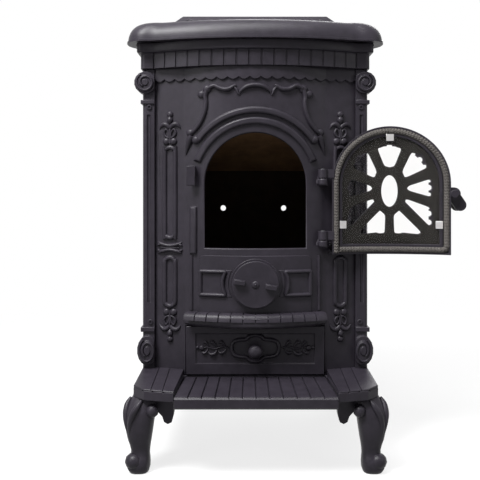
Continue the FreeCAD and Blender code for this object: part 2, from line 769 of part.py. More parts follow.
def base_plate():
    """Floor of the stove, with a wing on each side of the hearth ledge."""
    front = BODY_FRONT - WING_REACH
    inner_front = front - WING_BOW
    half_plan = [
        (BAY_HALF + LEDGE_GAP, DRAWER_FACE),
        (LEDGE_FRONT_HALF + LEDGE_GAP, inner_front),
        (BASE_HALF - WING_CHAMFER, front),
        (BASE_HALF, front + WING_CHAMFER),
        (BASE_HALF, BODY_BACK + BASE_BACK_LIP),
    ]
    right = [vec(x, y, LEG_H) for x, y in half_plan]
    left = [vec(-x, y, LEG_H) for x, y in half_plan[::-1]]
    plate = polygon(right + left).extrude(vec(0, 0, BASE_T))
    grooves = []
    pitch = (BASE_HALF - LEDGE_FRONT_HALF - LEDGE_GAP) / WING_SLATS
    for index in range(1, WING_SLATS):
        x = BASE_HALF - pitch * index
        groove = block(
            (x - SLAT_GROOVE / 2, x + SLAT_GROOVE / 2),
            (inner_front, BODY_FRONT - STEP_OUT),
            (BASE_TOP - SLAT_GROOVE, BASE_TOP),
        )
        grooves += [groove, mirrored(groove)]
    return plate.cut(leg_studs()).cut(Part.makeCompound(grooves))


def hearth_ledge():
    """Slatted shelf ahead of the drawer, hung from a tongue under the base plate."""
    front = BODY_FRONT - LEDGE_REACH
    low = LEDGE_TOP - LEDGE_T
    plan = [
        vec(-BAY_HALF, DRAWER_FACE, low),
        vec(-LEDGE_FRONT_HALF, front, low),
        vec(LEDGE_FRONT_HALF, front, low),
        vec(BAY_HALF, DRAWER_FACE, low),
    ]
    shelf = polygon(plan).extrude(vec(0, 0, LEDGE_T))
    shelf = shelf.makeChamfer(LEDGE_CHAMFER, edges_at(shelf, x=0.0, y=front))
    tongue_half = BAY_HALF - TONGUE_INSET
    tongue_y = (DRAWER_FACE - ROOT, DRAWER_FACE + LEDGE_TONGUE)
    tongue = block((-tongue_half, tongue_half), tongue_y, (low, LEG_H))
    shelf = fused([shelf, tongue])
    grooves = []
    for index in range(1, LEDGE_SLATS):
        share = 2.0 * index / LEDGE_SLATS - 1
        back = vec(share * BAY_HALF, DRAWER_FACE, LEDGE_TOP)
        along = vec(share * LEDGE_FRONT_HALF, front, LEDGE_TOP).sub(back)
        groove = block((-SLAT_GROOVE / 2, SLAT_GROOVE / 2), (0, along.Length), (-SLAT_GROOVE, 0))
        groove.rotate(vec(0, 0, 0), vec(0, 0, 1), math.degrees(math.atan2(along.y, along.x)) - 90)
        groove.translate(back)
        grooves.append(groove)
    return shelf.cut(Part.makeCompound(grooves))


def frieze_outline(out, side_out):
    """Plan of the frieze, with its bowed front, grown outwards."""
    front = FRIEZE_Y - math.sqrt((FRIEZE_R + out) ** 2 - FRIEZE_BOW_HALF ** 2)
    side = FRIEZE_HALF + side_out
    left = vec(-FRIEZE_BOW_HALF, front, 0)
    right = vec(FRIEZE_BOW_HALF, front, 0)
    crown = arc(left, vec(0, FRIEZE_Y - FRIEZE_R - out, 0), right)
    back = BODY_BACK + max(side_out, -WALL)
    walls = Part.makePolygon([
        right,
        vec(side, front, 0),
        vec(side, back, 0),
        vec(-side, back, 0),
        vec(-side, front, 0),
        left,
    ])
    return face_of([crown] + walls.Edges)


def slab(face, z):
    plate = face.extrude(vec(0, 0, z[1] - z[0]))
    plate.translate(vec(0, 0, z[0]))
    return plate


def inside_frieze(z):
    """Room inside the frieze and under the top plate."""
    return slab(frieze_outline(-2 * WALL, SIDE_IN - FRIEZE_HALF), z)


def frieze():
    """Panelled frieze with the cornice that carries the top plate."""
    band = slab(frieze_outline(0.0, 0.0), (BODY_TOP, FRIEZE_TOP))
    cornice = slab(frieze_outline(CORNICE_OUT, CORNICE_OUT), (FRIEZE_TOP, CORNICE_TOP))
    ring = band.fuse(cornice).cut(inside_frieze((BODY_TOP, CORNICE_TOP)))
    reach = math.degrees(math.asin(FRIEZE_BOW_HALF / FRIEZE_R))
    flutes = []
    for index in range(FRIEZE_PANELS + 1):
        depth = (-FRIEZE_R - ROOT, FLUTE_DEPTH - FRIEZE_R)
        flute = block((-FLUTE_W / 2, FLUTE_W / 2), depth, (BODY_TOP, FRIEZE_TOP))
        flute.rotate(vec(0, 0, 0), vec(0, 0, 1), reach * (2 * index / FRIEZE_PANELS - 1))
        flute.translate(vec(0, FRIEZE_Y, 0))
        flutes.append(flute)
    return ring.cut(Part.makeCompound(flutes))


def top_plate():
    """Top with a sloping rim, rounded corner lobes and the hob opening."""
    z = (CORNICE_TOP, TOP_Z)
    plate = slab(frieze_outline(TOP_OUT, TOP_SIDE_OUT), z)
    half_height = (z[0] + z[1]) / 2
    rounds = ((FRIEZE_HALF + TOP_SIDE_OUT, LOBE_R), (FRIEZE_BOW_HALF, NOTCH_R))
    for x, radius in rounds:
        for side in (-x, x):
            corners = [edge for edge in edges_at(plate, x=side, z=half_height) if edge.CenterOfMass.y < 0]
            plate = plate.makeFillet(radius, corners)
    plate = plate.makeChamfer(TOP_CHAMFER, edges_at(plate, z=TOP_Z))
    plate = plate.cut(inside_frieze((CORNICE_TOP, TOP_Z - TOP_SKIN)))
    return plate.cut(block((-HOB_HALF, HOB_HALF), HOB_Y, z))


def lid_ring(inset, z):
    """Rectangle of the lid's outline, drawn in, at one height."""
    x = HOB_HALF + LID_LAP[0] - inset
    y = HOB_DEPTH / 2 + LID_LAP[1] - inset
    corners = ((-x, -y), (x, -y), (x, y), (-x, y))
    return [vec(px, HOB_MIDDLE + py, z) for px, py in corners]


def top_lid():
    """Hollow lift-off lid with sloping sides and a locating lip."""
    edge_inset, edge_h = LID_EDGE
    rings = [
        lid_ring(0.0, TOP_Z),
        lid_ring(edge_inset, TOP_Z + edge_h),
        lid_ring(LID_SLOPE, TOP_Z + LID_H),
    ]
    gap = LID_LIP_GAP
    lip_z = (TOP_Z - LID_LIP_T, TOP_Z)
    lip = block((-HOB_HALF + gap, HOB_HALF - gap), (HOB_Y[0] + gap, HOB_Y[1] - gap), lip_z)
    lid = fused([stacked(rings), lip])
    gap += LID_SKIN
    room_z = (TOP_Z - LID_LIP_T, TOP_Z + LID_H - LID_SKIN)
    return lid.cut(block((-HOB_HALF + gap, HOB_HALF - gap), (HOB_Y[0] + gap, HOB_Y[1] - gap), room_z))


def tie_rods():
    """Four tie rods between the base and the top plate, one in each corner."""
    rods = []
    for x in (-ROD_X, ROD_X):
        for y in ROD_Y:
            rods.append(faceted_rod(ROD_R, x, y, (BASE_TOP, TOP_Z - TOP_SKIN)))
    return Part.makeCompound(rods)


def fire_bed():
    """Plate across the firebox with a stepped opening for the grate."""
    rear = BACK_IN - LINER_T
    z = (BED_Z, BED_TOP)
    plate = block((-LINER_OUT, LINER_OUT), (LINER_FRONT, rear), z)
    tail_half = LINER_OUT - BED_TAIL_INSET
    tail = block((-tail_half, tail_half), (rear, REAR_SEAT), z)
    nose_half = BAY_HALF - BED_NOSE_INSET
    nose = block((-nose_half, nose_half), (BAY_FRONT, LINER_FRONT), z)
    nose = nose.common(upright(BOW_R - WALL - BED_GAP, 0, BOW_Y, z))
    boss_half = AIR_BOSS_R + BED_GAP
    boss_back = AIR_BACK + AIR_SHUTTER_T + 3 * BED_GAP
    nose = nose.cut(block((-boss_half, boss_half), (BAY_FRONT, boss_back), z))
    plate = fused([plate, tail, nose])
    hole_half = GRATE_HALF - GRATE_SEAT
    hole_y = (GRATE_Y[0] + GRATE_SEAT, GRATE_Y[1] - GRATE_SEAT)
    plate = plate.cut(block((-hole_half, hole_half), hole_y, z))
    seat_half = GRATE_HALF + SEAT
    seat_y = (GRATE_Y[0] - SEAT, GRATE_Y[1] + SEAT)
    return plate.cut(block((-seat_half, seat_half), seat_y, (BED_TOP - GRATE_T, BED_TOP)))


def fire_grate():
    """Slotted grate that drops into the fire bed."""
    z = (BED_TOP - GRATE_T, BED_TOP + GRATE_PROUD)
    plate = block((-GRATE_HALF, GRATE_HALF), GRATE_Y, z)
    pitch = 2 * (GRATE_HALF - GRATE_SEAT) / GRATE_BARS
    slot_y = (GRATE_Y[0] + 2 * GRATE_SEAT, GRATE_Y[1] - 2 * GRATE_SEAT)
    for index in range(GRATE_BARS):
        x = -GRATE_HALF + GRATE_SEAT + pitch * (index + 0.5)
        plate = plate.cut(block((x - GRATE_SLOT / 2, x + GRATE_SLOT / 2), slot_y, z))
    return plate


def baffle_z(y):
    """Height of the baffle's underside, which rises towards the front."""
    return BAFFLE_REAR_Z + BAFFLE_RISE * (REAR_SEAT - y)


def sloped_wall(x, y):
    """Lining board between the fire bed and the baffle."""
    profile = [
        vec(x[0], y[0], BED_TOP),
        vec(x[0], y[1], BED_TOP),
        vec(x[0], y[1], baffle_z(y[1])),
        vec(x[0], y[0], baffle_z(y[0])),
    ]
    return polygon(profile).extrude(vec(x[1] - x[0], 0, 0))


def liner_side():
    return sloped_wall((LINER_OUT - LINER_T, LINER_OUT), (LINER_FRONT, BACK_IN - LINER_T))


def liner_rear():
    half = LINER_OUT - LINER_T
    y = (BACK_IN - LINER_T, REAR_SEAT)
    return sloped_wall((-half, half), y).cut(air_holes(y))


def baffle():
    """Sloping plate that lies on the linings."""
    profile = []
    for y, lift in zip(BAFFLE_Y + BAFFLE_Y[::-1], (0.0, 0.0, BAFFLE_T, BAFFLE_T)):
        profile.append(vec(-BAFFLE_HALF, y, baffle_z(y) + lift))
    return polygon(profile).extrude(vec(2 * BAFFLE_HALF, 0, 0))


def drawer_front():
    """Flat drawer face with a raised border."""
    x = (-DRAWER_HALF, DRAWER_HALF)
    plate = block(x, (DRAWER_FACE, DRAWER_BACK), DRAWER_Z)
    proud = (DRAWER_FACE - DRAWER_BORDER_H, DRAWER_FACE)
    border = block(x, proud, DRAWER_Z)
    inner_half = DRAWER_HALF - DRAWER_BORDER
    inner_z = (DRAWER_Z[0] + DRAWER_RAILS[0], DRAWER_Z[1] - DRAWER_RAILS[1])
    border = border.cut(block((-inner_half, inner_half), proud, inner_z))
    return fused([plate, border])


def ash_pan():
    """Open tray fixed to the back of the drawer face."""
    z = (BASE_TOP + CLEAR, BASE_TOP + CLEAR + PAN_H)
    y = (DRAWER_BACK, DRAWER_BACK + PAN_DEPTH)
    tray = block((-PAN_HALF, PAN_HALF), y, z)
    inner = PAN_HALF - PAN_WALL
    inner_y = (y[0] + PAN_WALL, y[1] - PAN_WALL)
    return tray.cut(block((-inner, inner), inner_y, (z[0] + PAN_WALL, z[1])))


def drawer_runner():
    """Right-hand rail that guides the ash pan."""
    inner = PAN_HALF + DRAWER_GAP / 2
    y = (DRAWER_BACK + DRAWER_GAP, DRAWER_BACK + PAN_DEPTH)
    return block((inner, inner + RUNNER_W), y, (BASE_TOP, BASE_TOP + RUNNER_H))


def turned_knob(radius, length):
    """Turned knob along -Y from the origin: collar, neck and rounded head."""
    rings = []
    for share, along in KNOB_PROFILE:
        reach = radius * share
        y = -length * along
        rings.append([vec(reach * math.cos(turn), y, reach * math.sin(turn)) for turn in turns(ROUND_SIDES)])
    return stacked(rings)


def drawer_knob():
    knob = turned_knob(KNOB_R, KNOB_LENGTH)
    knob.translate(vec(0, DRAWER_FACE, KNOB_Z))
    return knob


def air_wheel():
    """Disc with two finger tabs."""
    back = AIR_FACE - AIR_GAP
    front = back - AIR_WHEEL_T
    pieces = [rod_y(AIR_R, 0, AIR_Z, (back, front))]
    for x in (-TAB_X, TAB_X):
        tab = block(
            (x - TAB_HALF[0], x + TAB_HALF[0]),
            (front - TAB_PROUD, front + ROOT),
            (AIR_Z - TAB_HALF[1], AIR_Z + TAB_HALF[1]),
        )
        tab.rotate(vec(0, 0, AIR_Z), vec(0, 1, 0), TAB_TILT)
        pieces.append(tab)
    return fused(pieces).cut(air_spindle())


def air_spindle():
    front = AIR_FACE - AIR_GAP - AIR_WHEEL_T - SPINDLE_PROUD
    back = AIR_BACK + CLEAR + AIR_SHUTTER_T + SPINDLE_TAIL
    return rod_y(AIR_SPINDLE_R, 0, AIR_Z, (front, back))


def air_shutter():
    """Ported disc behind the panel, turned by the wheel."""
    y = (AIR_BACK + CLEAR, AIR_BACK + CLEAR + AIR_SHUTTER_T)
    disc = oval_prism(0, AIR_Z, (AIR_SHUTTER_R, AIR_SHUTTER_R), y, AIR_BOSS_SIDES)
    return disc.cut(air_ports(y)).cut(air_spindle())


def spokes():
    """Nine bars that run out from the hub."""
    bars = []
    for degrees in SPOKE_ANGLES[:-1]:
        bar = block((0, 2 * DOOR_HALF), ARCH_DEPTH, (-SPOKE_W / 2, SPOKE_W / 2))
        bar.rotate(vec(0, 0, 0), vec(0, 1, 0), -degrees)
        bar.translate(vec(0, 0, HUB_Z))
        bars.append(bar)
    return bars


def arch_edge(turn, inset):
    """Point on the drawn-in arch outline, seen from the hub at an angle."""
    side = DOOR_HALF - inset
    foot = DOOR_BOTTOM + inset
    drop = ARCH_Z - HUB_Z
    cos, sin = math.cos(turn), math.sin(turn)
    reach = drop * sin + math.sqrt(side ** 2 - (drop * cos) ** 2)
    if reach * sin < drop:
        reach = side / max(abs(cos), 1e-6)
        if HUB_Z + reach * sin < foot:
            reach = (foot - HUB_Z) / sin
    return reach * cos, HUB_Z + reach * sin


def door_windows():
    """Openings between the spokes, their outer edges cut in small lobes."""
    pieces = [arch_prism(DOOR_HALF, DOOR_BOTTOM, WINDOW_INSET)]
    for start, end in zip(SPOKE_ANGLES, SPOKE_ANGLES[1:]):
        for index in range(CUSPS):
            turn = math.radians(start + (end - start) * (index + 0.75) / (CUSPS + 0.5))
            x, z = arch_edge(turn, WINDOW_INSET)
            pieces.append(oval_prism(x, z, (CUSP_R, CUSP_R), ARCH_DEPTH, LOBE_SIDES))
    windows = fused(pieces)
    for bar in spokes() + [oval_prism(0, HUB_Z, HUB_HALF, ARCH_DEPTH)]:
        windows = windows.cut(bar)
    return windows


def door_arm(z):
    """Strap from the door's edge to one hinge barrel."""
    barrel = faceted_rod(BARREL_R, HINGE_X, HINGE_Y, z, ROUND_SIDES)
    root = DOOR_HALF - ARM_ROOT
    arm = block((root, HINGE_X), (HINGE_Y - ARM_OUT, bow_y(root, DOOR_IN / 2)), z)
    return barrel.fuse(arm)


def barrel_spans():
    """Heights of the door's barrels, which ride on the frame's lugs."""
    return [(top + CLEAR, top + CLEAR + BARREL_H) for bottom, top in LUG_Z]


def rope_groove(z):
    """Channel for the sealing rope, round the door's inner face."""
    outer = arch_prism(DOOR_HALF, DOOR_BOTTOM, DOOR_LIP)
    inner = arch_prism(DOOR_HALF, DOOR_BOTTOM, DOOR_LIP + ROPE_GROOVE)
    return outer.cut(inner).common(bow_shell(0.0, DOOR_IN + ROPE_GROOVE_DEPTH, z))


def door_frame():
    """Bowed arched door with an oval hub, nine spokes and a rope groove."""
    z = (DOOR_BOTTOM, ARCH_Z + DOOR_HALF)
    outline = arch_prism(DOOR_HALF, DOOR_BOTTOM)
    inside = arch_prism(DOOR_HALF, DOOR_BOTTOM, LAND_W)
    ring = bow_shell(DOOR_IN, DOOR_OUT, z).common(outline).cut(inside)
    web = bow_shell(DOOR_IN + GLASS_T + GLASS_GAP, DOOR_OUT, z).common(outline)
    web = web.cut(door_windows()).cut(oval_prism(0, HUB_Z, HUB_HOLE, ARCH_DEPTH))
    lug_ends = [(LATCH_X + LATCH_LUG_L, LATCH_Z), (LATCH_X, LATCH_Z)]
    lug = slot_prism(lug_ends, [LATCH_LUG_R, LATCH_LUG_R], LATCH_LUG_Y).cut(inside)
    arms = [door_arm(span) for span in barrel_spans()]
    door = fused([ring, web, lug] + arms).cut(rope_groove(z))
    door = door.cut(rod_y(PIN_R + RUN, LATCH_X, LATCH_Z, LATCH_LUG_Y))
    return door.cut(upright(PIN_R + RUN, HINGE_X, HINGE_Y, z))


def door_glass():
    """Curved pane that lies against the spokes, inside the rope ring."""
    z = (DOOR_BOTTOM, ARCH_Z + DOOR_HALF)
    outline = arch_prism(DOOR_HALF, DOOR_BOTTOM, LAND_W + CLEAR)
    return bow_shell(DOOR_IN, DOOR_IN + GLASS_T, z).common(outline)


def rope_section(x, z, tangent):
    """Polygon across the rope where its middle passes (x, z) on the bow."""
    radius = BOW_R + CLEAR + ROPE_R
    centre = vec(x, BOW_Y - math.sqrt(radius ** 2 - x ** 2), z)
    normal = vec(x, centre.y - BOW_Y, 0).normalize()
    sideways = vec(-normal.y, normal.x, 0)
    along = sideways * tangent[0] + vec(0, 0, tangent[1])
    across = normal.cross(along).normalize()
    points = []
    for turn in turns(ROPE_SIDES):
        points.append(centre + normal * (ROPE_R * math.cos(turn)) + across * (ROPE_R * math.sin(turn)))
    return Part.makePolygon(points + points[:1])


def door_rope():
    """Sealing rope round the door, its two ends meeting at the lower hinge corner."""
    inset = DOOR_LIP + ROPE_GROOVE / 2
    side = DOOR_HALF - inset
    foot = DOOR_BOTTOM + inset
    corner = 2 * ROPE_R
    arch_steps, corner_steps, foot_steps = 24, 4, 10
    sections = [rope_section(side, DOOR_BOTTOM + DOOR_LIP + ROPE_END, (0, 1))]
    for index in range(arch_steps + 1):
        turn = math.pi * index / arch_steps
        spot = (side * math.cos(turn), ARCH_Z + side * math.sin(turn))
        sections.append(rope_section(*spot, (-math.sin(turn), math.cos(turn))))
    for index in range(corner_steps + 1):
        turn = math.pi / 2 * index / corner_steps
        x = -side + corner - corner * math.cos(turn)
        z = foot + corner - corner * math.sin(turn)
        sections.append(rope_section(x, z, (math.sin(turn), -math.cos(turn))))
    start = -side + corner
    end = side - ROPE_R - CLEAR
    for index in range(1, foot_steps + 1):
        sections.append(rope_section(start + (end - start) * index / foot_steps, foot, (1, 0)))
    return Part.makeLoft(sections, True, True)


def glass_clip(x_half, z_half, z, x):
    """Flat plate about (x, z) on the door's inner face."""
    outer = BAY_FRONT - DOOR_IN + CLIP_SINK
    clip = block((-x_half, x_half), (outer, outer + CLIP_T), (z - z_half, z + z_half))
    clip.rotate(vec(0, BOW_Y, 0), vec(0, 0, 1), math.degrees(math.asin(x / BOW_R)))
    return clip


def glass_clips():
    """Three plates that hold the pane to the rope ring."""
    reach = LAND_W - CLIP_LAP - CLIP_BITE
    side = DOOR_HALF - reach - CLIP_L / 2
    clips = [glass_clip(CLIP_W / 2, CLIP_L / 2, ARCH_Z + side, 0.0)]
    for x in (side, -side):
        clips.append(glass_clip(CLIP_L / 2, CLIP_W / 2, CLIP_Z, x))
    return Part.makeCompound(clips)


def handle_lever():
    """Lever outside the door, its shaft through the lug and its tongue behind it."""
    pivot = (LATCH_X, LATCH_Z)
    outer = LATCH_LUG_Y[0] - CLEAR
    arm = slot_prism([pivot, LEVER_TIP], LEVER_R, (outer - LEVER_T, outer))
    inner = LATCH_LUG_Y[1] + CLEAR
    shaft = rod_y(PIN_R, *pivot, (outer - ROOT, inner + ROOT))
    turn = math.radians(TONGUE_DEG)
    tip = (LATCH_X + TONGUE_REACH * math.cos(turn), LATCH_Z + TONGUE_REACH * math.sin(turn))
    tongue = slot_prism([pivot, tip], [TONGUE_R, TONGUE_R], (inner, inner + TONGUE_T))
    return fused([arm, shaft, tongue])


def handle_grip():
    """Turned grip on the lever's end, away from the fire."""
    grip = turned_knob(GRIP_R, GRIP_LENGTH)
    grip.translate(vec(LEVER_TIP[0], LATCH_LUG_Y[0] - CLEAR - LEVER_T, LEVER_TIP[1]))
    return grip


def latch_keeper():
    """Hooked block beside the opening that the tongue turns in behind."""
    front = LATCH_LUG_Y[1] + CLEAR - KEEPER_PLAY
    depth = (front - KEEPER_LIP_T, front)
    lip = block(KEEPER_X, depth, KEEPER_Z)
    root = block(KEEPER_X, (depth[0], BAY_Y), (KEEPER_Z[0] + KEEPER_LIP, KEEPER_Z[1]))
    keeper = fused([lip, root])
    return keeper.cut(upright(BOW_R, 0, BOW_Y, KEEPER_Z))


def hinge_pins():
    """Pins fixed in the frame's lugs, standing up into the door's barrels."""
    pins = []
    for (bottom, top), span in zip(LUG_Z, barrel_spans()):
        pins.append(upright(PIN_R, HINGE_X, HINGE_Y, (bottom, span[1] + PIN_TIP)))
    return Part.makeCompound(pins)


def swung(shape):
    """A door piece turned from shut to where the door stands open."""
    turned = shape.copy()
    turned.rotate(vec(HINGE_X, HINGE_Y, 0), vec(0, 0, 1), DOOR_OPEN)
    return turned


def all_nodes():
    nodes = {
        "base_plate": base_plate(),
        "hearth_ledge": hearth_ledge(),
        "leg_studs": leg_studs(),
        "front_panel": front_panel(),
        "back_panel": back_panel(),
        "flue_spigot": flue_spigot(),
        "frieze": frieze(),
        "top_plate": top_plate(),
        "top_lid": top_lid(),
        "tie_rods": tie_rods(),
        "fire_bed": fire_bed(),
        "fire_grate": fire_grate(),
        "liner_rear": liner_rear(),
        "baffle_plate": baffle(),
        "drawer_front": drawer_front(),
        "ash_pan": ash_pan(),
        "drawer_knob": drawer_knob(),
        "air_wheel": air_wheel(),
        "air_spindle": air_spindle(),
        "air_shutter": air_shutter(),
        "latch_keeper": latch_keeper(),
        "hinge_pins": hinge_pins(),
    }
    front_leg = leg()
    pairs = {
        "corner_post": corner_post(),
        "side_panel": side_panel(),
        "liner": liner_side(),
        "drawer_runner": drawer_runner(),
        "leg_front": front_leg,
        "leg_rear": front_leg.mirror(vec(0, 0, 0), vec(0, 1, 0)),
    }
    for name, shape in pairs.items():
        nodes[name + "_right"] = shape
        nodes[name + "_left"] = mirrored(shape)
    door_pieces = {
        "door_frame": door_frame(),
        "door_glass": door_glass(),
        "door_rope": door_rope(),
        "glass_clips": glass_clips(),
        "handle_lever": handle_lever(),
        "handle_grip": handle_grip(),
    }
    for name, shape in door_pieces.items():
        nodes[name] = swung(shape)
    return nodes


def main():
    os.makedirs("parts", exist_ok=True)
    for name, shape in all_nodes().items():
        shape.exportStep("parts/" + name + ".step")


main()
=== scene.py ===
# %% [markdown]
# # A cast iron stove, dressed for its picture
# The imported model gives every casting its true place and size. This lesson keeps those castings
# as the frame, rounds their sharp edges as a foundry's sand mould does, and adds what a pattern
# maker carves on top: scrolls, leaves, clasps, beads and feet. Each step says what the piece is on
# the real stove, how it could be made, and why it is made this way.

# %% Load the frame
import json
import math

import bmesh
import bpy
from mathutils import Matrix, Vector
from mathutils.bvhtree import BVHTree


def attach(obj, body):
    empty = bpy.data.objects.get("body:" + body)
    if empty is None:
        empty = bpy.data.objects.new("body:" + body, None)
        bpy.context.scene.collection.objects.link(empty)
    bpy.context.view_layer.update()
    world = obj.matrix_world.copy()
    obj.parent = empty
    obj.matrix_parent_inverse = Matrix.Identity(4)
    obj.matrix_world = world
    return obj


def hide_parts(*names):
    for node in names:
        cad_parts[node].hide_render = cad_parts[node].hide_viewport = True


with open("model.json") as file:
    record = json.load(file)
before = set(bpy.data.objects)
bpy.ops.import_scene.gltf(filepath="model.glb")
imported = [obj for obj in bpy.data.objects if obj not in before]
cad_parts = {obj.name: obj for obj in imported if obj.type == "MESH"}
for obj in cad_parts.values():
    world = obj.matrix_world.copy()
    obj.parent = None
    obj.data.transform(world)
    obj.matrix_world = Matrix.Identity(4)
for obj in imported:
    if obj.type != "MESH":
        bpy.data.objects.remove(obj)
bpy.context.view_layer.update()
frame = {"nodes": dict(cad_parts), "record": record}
nodes = frame["nodes"]
scene = bpy.context.scene
MM = 0.001


def placed(name, data):
    """New object in the scene for a mesh, curve, lamp or camera."""
    item = bpy.data.objects.new(name, data)
    scene.collection.objects.link(item)
    return item


# %% [markdown]
# ## Camera, light and floor
# The photograph was taken square on, from a little above half height, and its upright lines stay
# upright, so the camera looks straight along +Y and is shifted rather than tilted. Large soft
# lamps stand in for studio boxes. The world is white where it is seen, directly or in a
# reflection, and dimmer where it only adds fill light.

# %% Camera
PHOTO = 480.0                 # pixels along the photograph's sides
FOCAL_PX = 686.0
VANISH = (246.0, 195.0)       # pixel where lines along +Y meet
EYE = (-0.016, -1.3, 0.45)
camera_data = bpy.data.cameras.new("photo_camera")
camera_data.sensor_width = 36.0
camera_data.lens = FOCAL_PX / PHOTO * camera_data.sensor_width
camera_data.shift_x = (PHOTO / 2 - VANISH[0]) / PHOTO
camera_data.shift_y = (VANISH[1] - PHOTO / 2) / PHOTO
camera = placed("photo_camera", camera_data)
camera.location = EYE
camera.rotation_euler = (math.radians(90), 0, 0)
scene.camera = camera
scene.view_settings.view_transform = "Standard"
print("lens", round(camera_data.lens, 2))

# %% Lamps
LAMPS = (     # name, place and target in metres, size in metres, watts
    ("key_box", (-0.85, -0.95, 1.95), (0, 0, 0.45), 0.6, 82),
    ("left_box", (-1.55, -1.55, 0.95), (-0.1, -0.1, 0.56), 0.7, 9),
    ("fill_box", (2.0, -1.4, 1.4), (0, 0, 0.4), 1.0, 8),
    ("top_box", (-0.2, -0.9, 2.5), (0, -0.1, 0.4), 1.2, 60),
    ("rear_box", (0.6, 2.2, 1.8), (0, 0, 0.5), 1.6, 40),
)
for name, place, target, size, power in LAMPS:
    data = bpy.data.lights.new(name, "AREA")
    data.shape = "SQUARE"
    data.size = size
    data.energy = power
    lamp = placed(name, data)
    lamp.location = place
    lamp.rotation_euler = (Vector(target) - Vector(place)).to_track_quat("-Z", "Y").to_euler()
print("lamps", [row[0] for row in LAMPS])


# %% Helpers for node trees
def fill_inputs(node, inputs):
    """Give a node its inputs: a socket is wired in, a plain value is written down."""
    for label, value in inputs.items():
        if isinstance(value, bpy.types.NodeSocket):
            node.id_data.links.new(value, node.inputs[label])
        else:
            node.inputs[label].default_value = value


def new_node(tree, kind, inputs=None, **options):
    """Node of a kind, with its options and inputs."""
    node = tree.nodes.new(kind)
    for label, value in options.items():
        setattr(node, label, value)
    fill_inputs(node, inputs or {})
    return node


def math_node(tree, operation, first, second):
    """Result of a Math node whose inputs are sockets or plain numbers."""
    return new_node(tree, "ShaderNodeMath", {0: first, 1: second}, operation=operation).outputs[0]


def seen_ray(tree):
    """1 for rays from the camera, from a mirror or through glass, 0 for plain fill light."""
    rays = new_node(tree, "ShaderNodeLightPath").outputs
    shown = math_node(tree, "MAXIMUM", rays["Is Camera Ray"], rays["Is Glossy Ray"])
    return math_node(tree, "MAXIMUM", shown, rays["Is Transmission Ray"])


def grey(level):
    """Colour without a tint."""
    return (level, level, level, 1)


# %% World
AMBIENT = 0.12
scene.world = bpy.data.worlds.new("studio")
scene.world.use_nodes = True
tree = scene.world.node_tree
tree.nodes.clear()
ambient = new_node(tree, "ShaderNodeBackground", {"Color": grey(1), "Strength": AMBIENT})
backdrop = new_node(tree, "ShaderNodeBackground", {"Color": grey(1)})
choose = new_node(tree, "ShaderNodeMixShader",
                  {"Fac": seen_ray(tree), 1: ambient.outputs[0], 2: backdrop.outputs[0]})
new_node(tree, "ShaderNodeOutputWorld", {"Surface": choose.outputs[0]})
print("world nodes", len(tree.nodes))

# %% [markdown]
# ## Floor
# A pale floor is lit like anything else near the stove, so it keeps the shadow. Further out it
# turns into the same white as the world, so no horizon shows. It throws less light back onto the
# stove than its own tone would, so that the undersides stay as dark as in a large studio.

# %% Floor
FLOOR_HALF = 6.0
FADE_NEAR, FADE_FAR = 0.45, 1.5     # metres from the stove over which the floor turns white
FLOOR_GLOW = 0.80                   # share of plain white near the stove
FLOOR_TONE, FLOOR_BOUNCE = 0.86, 0.25
corners = [(-1, -1), (1, -1), (1, 1), (-1, 1)]
floor_mesh = bpy.data.meshes.new("floor")
floor_mesh.from_pydata([(x * FLOOR_HALF, y * FLOOR_HALF, 0) for x, y in corners], [], [(0, 1, 2, 3)])
floor = placed("floor", floor_mesh)
print("floor", FLOOR_HALF * 2, "m square")

# %% Floor paint
floor_paint = bpy.data.materials.new("pale_floor")
floor_paint.use_nodes = True
floor_mesh.materials.append(floor_paint)
tree = floor_paint.node_tree
tree.nodes.clear()
place = new_node(tree, "ShaderNodeTexCoord").outputs["Object"]
reach = new_node(tree, "ShaderNodeVectorMath", {0: place}, operation="LENGTH")
fade = new_node(tree, "ShaderNodeMapRange", {
    "Value": reach.outputs["Value"], "From Min": FADE_NEAR, "From Max": FADE_FAR,
    "To Min": FLOOR_GLOW, "To Max": 1.0}, interpolation_type="SMOOTHSTEP")
thrown_back = new_node(tree, "ShaderNodeLightPath").outputs["Is Diffuse Ray"]
tone = new_node(tree, "ShaderNodeMix", {
    "Factor": thrown_back, "A": grey(FLOOR_TONE), "B": grey(FLOOR_BOUNCE)}, data_type="RGBA")
plain = new_node(tree, "ShaderNodeBsdfDiffuse", {"Color": tone.outputs["Result"]})
white = new_node(tree, "ShaderNodeEmission", {"Color": grey(1)})
glow = math_node(tree, "MULTIPLY", fade.outputs["Result"], seen_ray(tree))
blend = new_node(tree, "ShaderNodeMixShader", {"Fac": glow, 1: plain.outputs[0], 2: white.outputs[0]})
new_node(tree, "ShaderNodeOutputMaterial", {"Surface": blend.outputs[0]})
print("floor paint nodes", len(tree.nodes))

# %% [markdown]
# ## Finishes
# Sand-cast iron under stove paint is never quite even: the sand leaves a fine grain, the pour
# leaves soft waves, and the paint is a little thicker in some places. One shader group makes that
# grain, and each finish places it with its own sizes. Object coordinates are used, so the grain
# keeps its true size on every piece.


# %% Shared grain
def noise(tree, vector, scale, detail, roughness=0.5):
    """Noise value at a scale given by a socket or a number."""
    return new_node(tree, "ShaderNodeTexNoise", {
        "Vector": vector, "Scale": scale, "Detail": detail, "Roughness": roughness}).outputs["Fac"]


def shared(tree, first, share, second):
    """A share of one value with the rest of another."""
    return math_node(tree, "ADD", math_node(tree, "MULTIPLY", first, share),
                     math_node(tree, "MULTIPLY", second, 1 - share))


